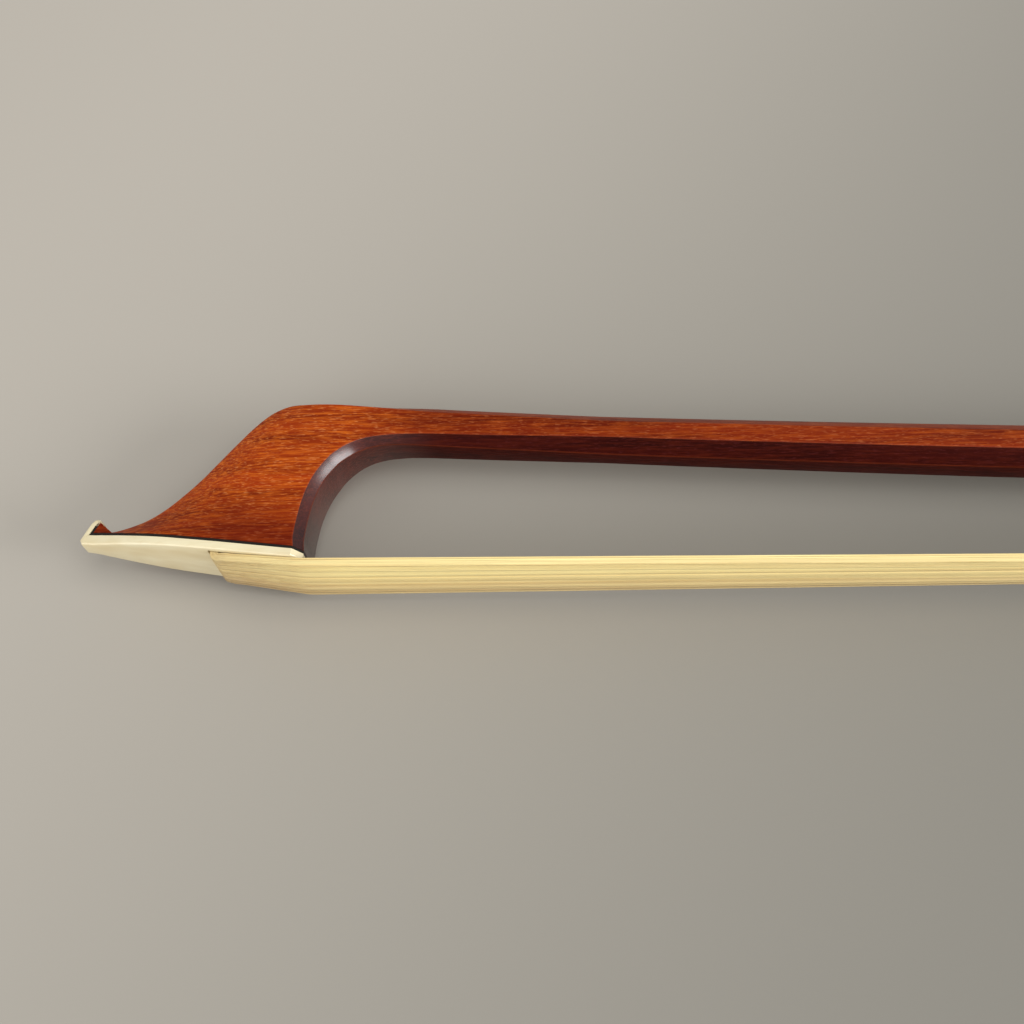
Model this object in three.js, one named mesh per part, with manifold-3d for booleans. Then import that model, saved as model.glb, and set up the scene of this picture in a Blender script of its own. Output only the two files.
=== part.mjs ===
// A cello bow at playing tension. Lengths are in millimetres.
// It is drawn with X from the nose of the head to the button, Y from the hair to the stick, and Z
// across the bow. Y is zero on the face of the hair that looks at the stick. The last lines move
// the bow so that it lies on its side, with the middle of its box over the origin.
import * as THREE from 'three';
import { mergeVertices } from 'three/addons/utils/BufferGeometryUtils.js';
import Module from 'manifold-3d';

const wasm = await Module();
wasm.setup();

// Fits that all pieces share
const glueLine = 0.05; // between faces that lie flat on each other
const seatGap = 0.25; // round a piece in the seat that is cut for it
const slideGap = 0.1; // between the stick and the liner that slides along it
const cutOverrun = 2; // how far a cutter reaches past the face that it opens

// Stick
const stickLength = 700; // nose of the head to the butt
const stickSetback = 15; // from the back corner of the head to the first upright section
const facetRun = 25; // over this length behind it the eight facets become equally wide
const firstChamfer = 1.25; // width that the corner facets take from the first upright section
const stickFlatsHead = 6.1; // across the flats behind the head
const stickFlatsHandle = 8.8; // across the flats at the handle
const camberLowShare = 0.4257; // where the stick comes closest to the hair, as a share of its length
const handleLength = 90; // straight part at the butt
const axisHead = 22.5; // height of the stick's axis, at the back of the head
const axisLow = 14.4; // the same at the closest place
const axisHandle = 22.9; // the same along the handle
const nippleRadius = 3.7;
const nippleLength = 2;

// Head
const headLength = 30.65; // nose to back corner
const headHeight = 25.3; // hair to ridge
const headHalfWidth = 5.1;
const throatChamfer = 1.3;
const ridgeChamfer = 0.9;
const plateTilt = THREE.MathUtils.degToRad(7.4); // the face plate rises towards the nose
const plateThickness = 1.1;
const tipLinerThickness = 0.3;
const noseLedge = 1.7; // how far the plate reaches past the wood at the nose
const noseRise = 0.63;
const noseSetback = 0.35;
const noseHalfWidth = 1.4;
const beakLean = THREE.MathUtils.degToRad(25);
const beakLength = 3.55;
const beakThickness = 0.75;
const beakTipRise = 0.2;
const beakLinerThickness = 0.3;
const beakLinerLength = 2.7;
const crestLength = 1.7;
const crestHalfWidth = 1.5;

// Places along the stick and the plate that follow from these sizes
const stickStartX = headLength + stickSetback;
const octagonFullX = stickStartX + facetRun;
const camberLowX = stickLength * camberLowShare;
const handleStartX = stickLength - handleLength;
const plateLength = (headLength - noseSetback) / Math.cos(plateTilt);
const woodFaceLength = plateLength - noseLedge;

// Mortise in the head, its plug, and the knot of the hair in it
const tipMortiseBack = 3.2; // from the back corner, along the plate
const tipMortiseLength = 9.3;
const tipMortiseDepth = 9;
const tipMortiseHalfMouth = 3.95;
const tipMortiseHalfDeep = 3.1;
const tipPlugHeight = 5.9;
const plugCorner = 0.7; // corner taken off a plug where the hair turns over it
const knotBeadLength = 2.5;
const knotBeadHalfWidth = 2.6;
const knotBeadHeight = 2.2;
const knotThreadLength = 1.1;
const knotNeckHalfWidth = 1.9;
const knotNeckHeight = 1.2;

// Hair
const hairThickness = 1.15;
const hairHalfAtHead = 5;
const hairHalfBehindHead = 4.2; // where the ribbon is narrowest
const hairNarrowRun = 96; // from the back corner of the head to there
const hairHalfAtFrog = 6;
const hairTurn = 0.5; // corner that the hair rounds off at the mouth of a mortise

// Grip
const leatherLength = 39.5;
const leatherThickness = 1;
const leatherToFrog = 5.5;
const windingLength = 70;
const windingThickness = 0.35;

// Frog
const frogLength = 51;
const frogToButt = 10;
const frogBottomHalf = 6.8;
const frogTopHalf = 5.25;
const cheekDrop = 2.3; // cheek tops below the stick's axis
const frogFrontTip = 2; // the front of the cheeks behind the front of the ferrule
const throatEdge = 0.95; // thickness of the front edge under the channel
const frogLinerThickness = 0.5;
const frogBottomStep = 0.2; // the ferrule stands this far proud of the frog's underside
const frogTravelSlack = 6; // from playing tension to slack
const frogTravelTight = 2; // from playing tension to the end of the thread

// Ferrule, its wedge, and the tongue of the frog that fills it
const ferruleLength = 12;
const ferruleHalfWidth = 7.25;
const ferruleWall = 0.75;
const ferruleTopY = 8.6;
const ferruleSideY = 2.6; // top of its straight sides
const ferruleHairGap = 0.2; // under the hair in the ferrule
const wedgeLength = 6.5;
const wedgeSetback = 0.4;
const wedgeHeight = 2.1;
const ferruleRampStart = 7.3; // where the hair starts to climb over the slide

// Slide
const slidePearlThickness = 0.8;
const slideBaseThickness = 0.75;
const slideHalfOuter = 4.5;
const slideHalfInner = 4.9;

// Frog mortise and plug
const frogMortiseStart = 19;
const frogMortiseLength = 12;
const frogMortiseTopY = 8.3;
const frogMortiseHalf = 4.3;
const frogPlugHeight = 4;
const hairHalfInFrog = 4;
const hairHalfBehindFerrule = 4.9;

// Heel
const heelPlate = 0.8;
const heelFoot = 9; // length of the lower plate under the frog
const heelLowY = 7.4; // top of the lower plate
const heelHighY = 9.6; // foot of the upper plate
const heelTopY = 17.2; // top of the upper plate
const heelStep = 2.6; // the upper plate stands this far in front of the lower one
const heelPinRadius = 0.55;
const heelPinLength = 4.5;

// Eyes in the sides of the frog
const eyeX = 27;
const eyeY = 9;
const eyePearlRadius = 3;
const eyeRingInner = 4;
const eyeRingOuter = 4.7;
const eyeDepth = 0.8;

// Screw and eyelet
const screwRadius = 1.45;
const screwRootRadius = 1.12;
const screwPitch = 0.7;
const screwTipClear = 3; // the screw reaches this far past the eyelet when the bow is slack
const screwInButton = 11.4; // from the butt into the button
const screwPointLength = 0.8;
const eyeletX = 24; // from the front of the frog
const eyeletHalfLength = 3;
const eyeletHalfWidth = 2.4;
const eyeletHoleGap = 0.2;
const eyeletTop = 2.3; // above the stick's axis
const eyeletFoot = 2.6; // below it
const eyeletShankRadius = 1.5;
const eyeletShankY = 11.5; // lower end of the shank
const linerScrewFrontX = 9.5;
const linerScrewToHeel = 12; // from the rear screw to the back of the frog
const linerScrewHeadRadius = 1.2;
const linerScrewHeadHeight = 0.65;
const linerScrewRadius = 0.65;
const linerScrewLength = 3;

// Button
const buttonLength = 15.7;
const buttonGap = 0.3; // between the butt and the button
const buttonFlats = 9.2;
const buttonCollarLength = 4.4;
const buttonStemRadius = 3.7;
const buttonWaist = 0.3; // how far the facets of the core dip in the middle
const buttonPearlRadius = 3;
const buttonPearlThickness = 1.25;

// How finely round shapes are cut into flats
const roundSteps = 28;
const smallRoundSteps = 20;
const throatSteps = 8;
const threadSides = 8;
const threadStepsPerTurn = 4;

// Finishes
const finish = (color, roughness, metalness = 0) => (
  new THREE.MeshStandardMaterial({ color, roughness, metalness }));
const pernambuco = finish('#8c3c1a', 0.38);
const ebony = finish('#1c1613', 0.42);
const bone = finish('#efe6cf', 0.4);
const plugWood = finish('#b08a58', 0.7);
const horseHair = finish('#e6d29a', 0.6);
const burntHair = finish('#5a3f22', 0.8);
const thread = finish('#e9e4d8', 0.8);
const leather = finish('#2a1d18', 0.65);
const silver = finish('#c9c9c6', 0.28, 1);
const steel = finish('#8e9196', 0.35, 1);
const brass = finish('#b08d4a', 0.35, 1);
const pearl = finish('#dfe3df', 0.2);

// Shapes

const eighthTurn = Math.tan(Math.PI / 8); // half a facet of an octagon, as a share of its half height

function piece(name, geometry, material) {
  const plain = geometry.index ? geometry.toNonIndexed() : geometry;
  plain.computeVertexNormals();
  const mesh = new THREE.Mesh(plain, material);
  mesh.name = name;
  return mesh;
}

function welded(geometry) {
  const plain = geometry.clone();
  plain.deleteAttribute('normal');
  plain.deleteAttribute('uv');
  return mergeVertices(plain);
}

function signedVolume(geometry) {
  const p = geometry.attributes.position;
  const order = geometry.index.array;
  const corners = [new THREE.Vector3(), new THREE.Vector3(), new THREE.Vector3()];
  let volume = 0;
  for (let i = 0; i < order.length; i += 3) {
    corners.forEach((corner, k) => corner.fromBufferAttribute(p, order[i + k]));
    volume += corners[0].dot(corners[1].clone().cross(corners[2])) / 6;
  }
  return volume;
}

// Turns every face round if the body is inside out
function outward(geometry) {
  const body = welded(geometry);
  if (signedVolume(body) < 0) {
    const order = body.index.array;
    for (let i = 0; i < order.length; i += 3) {
      const first = order[i];
      order[i] = order[i + 1];
      order[i + 1] = first;
    }
  }
  return body;
}

function solid(geometry) {
  const body = outward(geometry);
  return new wasm.Manifold(new wasm.Mesh({
    numProp: 3,
    vertProperties: Float32Array.from(body.attributes.position.array),
    triVerts: Uint32Array.from(body.index.array),
  }));
}

function fromSolid(body) {
  const mesh = body.getMesh();
  const geometry = new THREE.BufferGeometry();
  geometry.setAttribute('position', new THREE.BufferAttribute(Float32Array.from(mesh.vertProperties), 3));
  geometry.setIndex(new THREE.BufferAttribute(Uint32Array.from(mesh.triVerts), 1));
  return geometry;
}

const cut = (body, ...cutters) => fromSolid(
  cutters.reduce((rest, cutter) => rest.subtract(solid(cutter)), solid(body)));
const join = (body, ...others) => fromSolid(
  others.reduce((sum, other) => sum.add(solid(other)), solid(body)));
const common = (body, ...others) => fromSolid(
  others.reduce((rest, other) => rest.intersect(solid(other)), solid(body)));

// A closed skin over rings of points that lie one behind the other
function loft(rings) {
  const count = rings[0].length;
  const positions = rings.flat().flatMap((p) => [p.x, p.y, p.z]);
  const order = [];
  for (let r = 0; r + 1 < rings.length; r += 1) {
    for (let i = 0; i < count; i += 1) {
      const a = r * count + i;
      const b = r * count + (i + 1) % count;
      order.push(a, b, b + count, a, b + count, a + count);
    }
  }
  const last = (rings.length - 1) * count;
  for (let i = 1; i + 1 < count; i += 1) {
    order.push(0, i + 1, i, last, last + i, last + i + 1);
  }
  const geometry = new THREE.BufferGeometry();
  geometry.setAttribute('position', new THREE.Float32BufferAttribute(positions, 3));
  geometry.setIndex(order);
  return outward(geometry);
}

function mapped(geometry, place) {
  const body = geometry.clone();
  const p = body.attributes.position;
  for (let i = 0; i < p.count; i += 1) {
    const q = place(p.getX(i), p.getY(i), p.getZ(i));
    p.setXYZ(i, q.x, q.y, q.z);
  }
  return outward(body);
}

function shapeOf(points, hole) {
  const shape = new THREE.Shape(points.map(([a, b]) => new THREE.Vector2(a, b)));
  if (hole) {
    shape.holes.push(new THREE.Path(hole.map(([a, b]) => new THREE.Vector2(a, b))));
  }
  return shape;
}

const extruded = (points, depth, hole) => (
  new THREE.ExtrudeGeometry(shapeOf(points, hole), { depth, bevelEnabled: false }));

// An outline in X and Y, as wide on both sides of the middle plane
function acrossBow(points, halfWidth) {
  return outward(extruded(points, 2 * halfWidth).translate(0, 0, -halfWidth));
}

// An outline in Z and Y, drawn out along X
function alongBow(points, start, end, hole) {
  return mapped(extruded(points, end - start, hole), (z, y, x) => new THREE.Vector3(start + x, y, z));
}

const circle = (radius, steps, y = 0) => Array.from({ length: steps }, (unused, i) => {
  const angle = (2 * Math.PI * (i + 1 / 2)) / steps;
  return [radius * Math.cos(angle), y + radius * Math.sin(angle)];
});

function octagon(flats, y = 0) {
  const half = flats / 2;
  const side = half * eighthTurn;
  return [[side, -half], [half, -side], [half, side], [side, half],
    [-side, half], [-half, side], [-half, -side], [-side, -half]].map(([a, b]) => [a, y + b]);
}

const rodAlongBow = (radius, start, end, y, steps = smallRoundSteps) => (
  alongBow(circle(radius, steps, y), start, end));

function uprightRod(radius, bottom, top, x, steps = smallRoundSteps) {
  const rod = new THREE.CylinderGeometry(radius, radius, top - bottom, steps);
  return outward(rod.translate(x, (top + bottom) / 2, 0));
}

function block(x0, x1, y0, y1, halfWidth) {
  return acrossBow([[x0, y0], [x1, y0], [x1, y1], [x0, y1]], halfWidth);
}

// Reads a table of [place, value] rows, with straight lines between them
function read(table, place) {
  const next = table.findIndex(([at]) => at >= place);
  if (next < 0) {
    return table[table.length - 1][1];
  }
  if (next === 0) {
    return table[0][1];
  }
  const [before, low] = table[next - 1];
  const [after, high] = table[next];
  return low + ((high - low) * (place - before)) / (after - before);
}

// Stick and head

// Height of the stick's axis over the hair
function axisY(x) {
  if (x <= camberLowX) {
    const share = (camberLowX - x) / (camberLowX - headLength);
    return axisLow + (axisHead - axisLow) * share * share;
  }
  return axisLow + (axisHandle - axisLow) * THREE.MathUtils.smoothstep(x, camberLowX, handleStartX);
}

// Place along the stick, and how far its thickness has grown from head to handle
const taperShares = [[0, 0], [0.044, 0.04], [0.144, 0.31], [0.5, 0.71], [1, 1]];

function flatsAt(x) {
  const share = read(taperShares, (x - stickStartX) / (handleStartX - stickStartX));
  return stickFlatsHead + (stickFlatsHandle - stickFlatsHead) * share;
}

function chamferAt(x) {
  const full = (flatsAt(x) / 2) * (1 - eighthTurn);
  const share = THREE.MathUtils.clamp((x - stickStartX) / (octagonFullX - stickStartX), 0, 1);
  return firstChamfer + (full - firstChamfer) * share;
}

// A ring that is alike on both sides: profile holds [distance from inner to outer, half width]
function sectionRing(inner, outer, profile) {
  const along = outer.clone().sub(inner).normalize();
  const side = (sign) => profile.map(([distance, half]) => {
    const point = inner.clone().addScaledVector(along, distance);
    point.z = sign * half;
    return point;
  });
  return [...side(1), ...side(-1).reverse()];
}

// Places of the three middle points of a section between its two chamfers, from the ridge down
const cheekShares = [0.17, 0.35, 0.6];

function stickRing(x, grow = 0) {
  const height = flatsAt(x) + 2 * grow;
  const half = height / 2;
  const chamfer = chamferAt(x) + grow * (2 - Math.SQRT2);
  const between = height - 2 * chamfer;
  const profile = [[0, half - chamfer], [chamfer, half]];
  cheekShares.slice().reverse().forEach((share) => {
    profile.push([height - chamfer - between * share, half]);
  });
  profile.push([height - chamfer, half], [height, half - chamfer]);
  const y = axisY(x);
  return sectionRing(new THREE.Vector3(x, y - half, 0), new THREE.Vector3(x, y + half, 0), profile);
}

const frogFrontX = stickLength - frogToButt - frogLength;
const leatherEndX = frogFrontX - leatherToFrog;
const leatherStartX = leatherEndX - leatherLength;
const windingStartX = leatherStartX - windingLength;
const facetSteps = 4;
const camberSteps = 26;

// Where the stick has a section: close together behind the head, then evenly along the camber
function stickStations() {
  const places = [windingStartX, leatherStartX, leatherEndX, stickLength];
  for (let i = 0; i < facetSteps; i += 1) {
    places.push(stickStartX + ((octagonFullX - stickStartX) * i) / facetSteps);
  }
  for (let i = 0; i <= camberSteps; i += 1) {
    places.push(octagonFullX + ((handleStartX - octagonFullX) * i) / camberSteps);
  }
  return places.sort((a, b) => a - b).filter((x, i) => i === 0 || x > places[i - 1]);
}

const stations = stickStations();

function sleeve(startX, endX, thickness) {
  const places = stations.filter((x) => x >= startX && x <= endX);
  return cut(loft(places.map((x) => stickRing(x, glueLine + thickness))),
    loft([startX - cutOverrun, ...places, endX + cutOverrun].map((x) => stickRing(x, glueLine))));
}

// A point s along the face plate from its back corner, and t above its outer face
function onPlate(s, t, z = 0) {
  return new THREE.Vector3(
    headLength - s * Math.cos(plateTilt) + t * Math.sin(plateTilt),
    s * Math.sin(plateTilt) + t * Math.cos(plateTilt), z);
}

const woodFace = plateThickness + glueLine + tipLinerThickness + glueLine;

// Sections of the head: the throat point and the ridge point as shares of its length and of the
// height over its face, then the half width as a share of the widest, the flat left on the ridge as a
// share of that, and how square the ridge side is
const headShares = [
  [1.002, 0.0505, 0.093, 0.0107, 0.995, 0.27, 0],
  [1.003, 0.0964, 0.132, 0.0282, 0.985, 0.2, 0],
  [1.006, 0.1479, 0.191, 0.0676, 0.97, 0.13, 0],
  [1.011, 0.2063, 0.26, 0.126, 0.955, 0.1, 0],
  [1.019, 0.2733, 0.327, 0.2065, 0.94, 0.08, 0],
  [1.031, 0.3402, 0.399, 0.3177, 0.93, 0.07, 0],
  [1.049, 0.4125, 0.475, 0.4508, 0.915, 0.07, 0],
  [1.07, 0.4709, 0.55, 0.5951, 0.895, 0.07, 0.05],
  [1.096, 0.5251, 0.628, 0.7425, 0.865, 0.08, 0.1],
  [1.124, 0.5761, 0.7, 0.8611, 0.83, 0.1, 0.2],
  [1.157, 0.6175, 0.768, 0.9425, 0.79, 0.14, 0.35],
  [1.196, 0.6558, 0.846, 0.9934, 0.745, 0.2, 0.5],
  [1.248, 0.6898, 0.934, 1, 0.71, 0.28, 0.7],
  [1.303, 0.7089, 1.046, 0.9989, 0.68, 0.4, 0.85],
  [1.378, 0.7184, 1.212, 0.9851, 0.645, 0.52, 0.95],
];
const baseFlatShare = 0.33;
// Distance behind the front edge as a share of the head's length, and how wide the head is there
const frontShares = [[0, 0.3], [0.03, 0.4], [0.16, 0.61], [0.3, 0.8], [0.53, 0.92], [0.92, 1]];
const frontFullness = 1.6; // the front edge widens this much faster towards the ridge

// The half section of the head between a throat point and a ridge point
function headProfile(inner, outer, halfShare, flatShare, square) {
  const length = inner.distanceTo(outer);
  const half = headHalfWidth * halfShare;
  const foot = onPlate(woodFaceLength, woodFace).y;
  const quicker = 1 + (frontFullness * (outer.y - foot)) / (headHeight - foot);
  const widthAt = (fromRidge) => {
    const rounded = read(frontShares, (fromRidge * quicker) / headLength);
    return half * (rounded + (1 - rounded) * square);
  };
  const between = length - throatChamfer - ridgeChamfer;
  const profile = [[0, half - throatChamfer], [throatChamfer, widthAt(length - throatChamfer)]];
  cheekShares.slice().reverse().forEach((share) => {
    const fromRidge = ridgeChamfer + between * share;
    profile.push([length - fromRidge, widthAt(fromRidge)]);
  });
  profile.push([length - ridgeChamfer, widthAt(ridgeChamfer)], [length, half * flatShare]);
  return profile;
}

const baseInner = onPlate(0, woodFace);
const baseOuter = onPlate(woodFaceLength, woodFace);
const baseProfile = headProfile(baseInner, baseOuter, 1, baseFlatShare, 0);

// A place in the middle plane, by its share of the head's length and of the height over the face
function inHead(shareX, shareY) {
  const x = shareX * headLength;
  const s = Math.max(0, (baseInner.x - x) / Math.cos(plateTilt));
  const low = onPlate(s, woodFace).y;
  return new THREE.Vector3(x, low + shareY * (headHeight - low), 0);
}

function headRings() {
  const rings = [sectionRing(baseInner, baseOuter, baseProfile)];
  headShares.forEach(([throatX, throatY, ridgeX, ridgeY, half, flat, square]) => {
    const inner = inHead(throatX, throatY);
    const outer = inHead(ridgeX, ridgeY);
    rings.push(sectionRing(inner, outer, headProfile(inner, outer, half, flat, square)));
  });
  return rings;
}

// Where two lines in the middle plane meet
function meet(p, u, q, v) {
  const share = ((q.x - p.x) * v.y - (q.y - p.y) * v.x) / (u.x * v.y - u.y * v.x);
  return p.clone().addScaledVector(u, share);
}

const beakAlong = new THREE.Vector3(Math.sin(beakLean), Math.cos(beakLean), 0);
const beakInward = new THREE.Vector3(Math.cos(beakLean), -Math.sin(beakLean), 0);
const plateAlong = onPlate(1, 0).sub(onPlate(0, 0));
const noseFoot = onPlate(plateLength, 0);
const beakFoot = noseFoot.clone().add(new THREE.Vector3(-noseSetback, noseRise, 0));
const beakPoint = (depth, length) => (
  beakFoot.clone().addScaledVector(beakInward, depth).addScaledVector(beakAlong, length));
// The corner between a layer on the beak and a layer on the plate
const beakCorner = (depth, t) => meet(beakPoint(depth, 0), beakAlong, onPlate(0, t), plateAlong);
const flat = (points) => points.map((p) => [p.x, p.y]);

// Its back, as places behind the front edge of the wood and above the wood's face
const crestBack = [[-0.14, 0.4], [2, 0.57]];
const crestFoot = 2.3;

// The small peak of wood behind the beak
function crest() {
  const corner = beakCorner(beakThickness + glueLine + beakLinerThickness + glueLine, woodFace);
  const peak = corner.clone().addScaledVector(beakAlong, crestLength);
  const back = crestBack.map(([run, rise]) => onPlate(woodFaceLength - run, woodFace + rise));
  const foot = onPlate(woodFaceLength - crestFoot, woodFace);
  return acrossBow(flat([corner, peak, ...back, foot]), crestHalfWidth);
}

const tipMortiseFront = tipMortiseBack + tipMortiseLength;

// A block on the face plate, between two places s, with [t, half width] at each level
function plateBlock(s0, s1, levels) {
  return loft(levels.map(([t, half]) => [
    onPlate(s0, t, half), onPlate(s1, t, half), onPlate(s1, t, -half), onPlate(s0, t, -half)]));
}

const tipMortise = plateBlock(tipMortiseBack, tipMortiseFront, [
  [-cutOverrun, tipMortiseHalfMouth], [woodFace, tipMortiseHalfMouth],
  [tipMortiseDepth, tipMortiseHalfDeep]]);

const screwEyeletX = frogFrontX + eyeletX;
const slotStartX = screwEyeletX - eyeletHalfLength - frogTravelSlack - 3 * seatGap;
const slotEndX = screwEyeletX + eyeletHalfLength + frogTravelTight + 3 * seatGap;
const screwTipX = screwEyeletX - eyeletHalfLength - frogTravelSlack - screwTipClear;

function stickPiece() {
  const body = loft([...headRings(), ...stations.map((x) => stickRing(x))]);
  const nipple = rodAlongBow(nippleRadius, stickLength - cutOverrun, stickLength + nippleLength,
    axisHandle, roundSteps);
  const bore = rodAlongBow(screwRadius + seatGap, screwTipX - seatGap,
    stickLength + nippleLength + cutOverrun, axisHandle);
  const slot = block(slotStartX, slotEndX, axisHandle - stickFlatsHandle / 2 - cutOverrun,
    axisHandle + eyeletTop + seatGap, eyeletHalfWidth + seatGap);
  return piece('stick', cut(join(body, crest(), nipple), tipMortise, bore, slot), pernambuco);
}

// Face plate and liner

// The outline of the plate seen from the hair side, drawn up through both layers and the beak
function plateOutline() {
  const half = [...baseProfile, [plateLength + noseRise, noseHalfWidth]];
  const side = (sign, t) => half.map(([s, width]) => onPlate(s, t, sign * width));
  const ring = (t) => [...side(1, t), ...side(-1, t).reverse()];
  return loft([ring(-cutOverrun), ring(beakLength + cutOverrun)]);
}

function tipPlate() {
  const front = beakPoint(0, beakLength);
  const back = beakPoint(beakThickness, beakLength);
  const tip = front.clone().add(back).multiplyScalar(1 / 2).addScaledVector(beakAlong, beakTipRise);
  const side = [onPlate(0, 0), noseFoot, beakFoot, front, tip, back,
    beakCorner(beakThickness, plateThickness), onPlate(0, plateThickness)];
  const body = common(acrossBow(flat(side), headHalfWidth + cutOverrun), plateOutline());
  return piece('tip_plate', cut(body, tipMortise), bone);
}

function tipLiner() {
  const near = plateThickness + glueLine;
  const far = near + tipLinerThickness;
  const beakNear = beakThickness + glueLine;
  const beakFar = beakNear + beakLinerThickness;
  const side = [onPlate(0, near), beakCorner(beakNear, near), beakPoint(beakNear, beakLinerLength),
    beakPoint(beakFar, beakLinerLength), beakCorner(beakFar, far), onPlate(0, far)];
  const body = common(acrossBow(flat(side), headHalfWidth + cutOverrun), plateOutline());
  return piece('tip_liner', cut(body, tipMortise), ebony);
}

// Hair in a mortise. The hair runs along the mouth of the mortise, turns up its far wall, comes
// back over the plug, and ends in a bead behind a binding of thread. A place function puts its
// plan of (length, height, side) on the bow.

const profilePiece = (points, halfWidth, place) => (
  mapped(extruded(points, 2 * halfWidth), (a, b, z) => place(a, b, z - halfWidth)));

// An oval in height and side, drawn out along the length
const hankPiece = (height, halfWidth, from, to, middle, place, hole) => {
  const oval = (h, w) => circle(1, smallRoundSteps).map(([a, b]) => [a * h, b * w]);
  return mapped(extruded(oval(height / 2, halfWidth), to - from, hole && oval(hole[0] / 2, hole[1])),
    (b, z, a) => place(from + a, middle + b, z));
};

function hairOutline(run, wall, face, turn, end) {
  const inside = wall - hairThickness;
  return [...run.outer, [wall - hairTurn, face - hairThickness],
    [wall, face - hairThickness + hairTurn], [wall, turn + hairThickness - hairTurn],
    [wall - hairTurn, turn + hairThickness], [end, turn + hairThickness], [end, turn],
    [inside, turn], [inside, face + hairTurn], [inside - hairTurn, face], ...run.inner];
}

function plugOutline(start, wall, bottom, top) {
  const end = wall - hairThickness - seatGap;
  return [[start, bottom], [end - plugCorner, bottom], [end, bottom + plugCorner], [end, top],
    [start, top]];
}

function knotPieces(prefix, end, turn, place) {
  const middle = turn + knotBeadHeight / 2;
  const threadEnd = end - seatGap;
  const threadStart = threadEnd - knotThreadLength;
  const beadEnd = threadStart - seatGap;
  const hole = [knotNeckHeight + 2 * seatGap, knotNeckHalfWidth + seatGap];
  const binding = hankPiece(knotBeadHeight, knotBeadHalfWidth, threadStart, threadEnd, middle,
    place, hole);
  const neck = hankPiece(knotNeckHeight, knotNeckHalfWidth, beadEnd - seatGap, threadEnd, middle,
    place);
  const bead = hankPiece(knotBeadHeight, knotBeadHalfWidth, beadEnd - knotBeadLength, beadEnd,
    middle, place);
  return [piece(`${prefix}_knot_thread`, binding, thread),
    piece(`${prefix}_knot`, join(bead, neck), burntHair)];
}

const knotEndShare = 0.72; // where the hair meets its thread, as a share of the mortise's length

function tipHairPieces() {
  const wall = tipMortiseFront - seatGap;
  const turn = tipPlugHeight + seatGap;
  const end = tipMortiseBack + tipMortiseLength * knotEndShare;
  const run = {
    outer: [[glueLine, -glueLine - hairThickness]],
    inner: [[glueLine, -glueLine]],
  };
  const outline = hairOutline(run, wall, -glueLine, turn, end);
  const body = profilePiece(outline, hairHalfAtHead + cutOverrun, onPlate);
  const mouthHalf = tipMortiseHalfMouth - seatGap;
  const fan = loft([-cutOverrun, tipMortiseDepth].map((t) => [
    onPlate(0, t, hairHalfAtHead), onPlate(wall, t, mouthHalf),
    onPlate(wall, t, -mouthHalf), onPlate(0, t, -hairHalfAtHead)]));
  const well = plateBlock(-cutOverrun, tipMortiseFront, [
    [-cutOverrun, headHalfWidth + cutOverrun], [-glueLine, headHalfWidth + cutOverrun],
    [0, mouthHalf], [woodFace, mouthHalf], [tipMortiseDepth, tipMortiseHalfDeep - seatGap]]);
  const plugHalf = tipMortiseHalfDeep - seatGap;
  const plug = profilePiece(
    plugOutline(tipMortiseBack + seatGap, wall, 0, tipPlugHeight), mouthHalf, onPlate);
  const plugWell = plateBlock(-cutOverrun, tipMortiseFront, [
    [-cutOverrun, mouthHalf], [woodFace, mouthHalf], [tipMortiseDepth, plugHalf]]);
  return [piece('tip_hair', common(body, fan, well), horseHair),
    piece('tip_plug', common(plug, plugWell), plugWood),
    ...knotPieces('tip', end, turn, onPlate)];
}

// Free hair

function hairRibbon() {
  const start = headLength + seatGap;
  const end = frogFrontX;
  const places = [[start, hairHalfAtHead], [headLength + hairNarrowRun, hairHalfBehindHead],
    [end, hairHalfAtFrog]];
  return piece('hair_ribbon', loft(places.map(([x, half]) => (
    [[x, 0, half], [x, -hairThickness, half], [x, -hairThickness, -half], [x, 0, -half]]
  ).map((p) => new THREE.Vector3(...p)))), horseHair);
}

// Frog. Its pieces are drawn with X from the front of the ferrule.

const axis = axisHandle;
const stickHalf = stickFlatsHandle / 2;
const cheekY = axis - cheekDrop;
const ferruleBottomY = -hairThickness - ferruleHairGap - ferruleWall;
const frogBottomY = ferruleBottomY + frogBottomStep;
const shoulderX = ferruleLength + seatGap;
const bodyBackX = frogLength - heelPlate - glueLine;
const upperBackX = bodyBackX - heelStep;
const throatFloorY = axis - stickHalf - slideGap - frogLinerThickness - glueLine;
const frogSection = [[-frogBottomHalf, frogBottomY], [frogBottomHalf, frogBottomY],
  [frogTopHalf, cheekY], [-frogTopHalf, cheekY]];

// Half width of the channel's slanted side at a height, for a channel that is grown from the stick
const channelHalf = (grow, y) => (stickHalf + grow) * Math.SQRT2 - (axis - y);

function channelSide(grow, topY) {
  const bottom = axis - stickHalf - grow;
  const side = (stickHalf + grow) * eighthTurn;
  return [[-channelHalf(grow, topY), topY], [-side, bottom], [side, bottom],
    [channelHalf(grow, topY), topY]];
}

function dOutline(inset, bottomY) {
  const half = ferruleHalfWidth - inset;
  const rise = ferruleTopY - inset - ferruleSideY;
  const arc = Array.from({ length: roundSteps / 2 + 1 }, (unused, i) => {
    const angle = (Math.PI * i) / (roundSteps / 2);
    return [half * Math.cos(angle), ferruleSideY + rise * Math.sin(angle)];
  });
  return [...arc, [-half, bottomY], [half, bottomY]];
}

function ferrule() {
  const hole = dOutline(ferruleWall, ferruleBottomY + ferruleWall).reverse();
  return piece('ferrule', alongBow(dOutline(0, ferruleBottomY), 0, ferruleLength, hole), silver);
}

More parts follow.
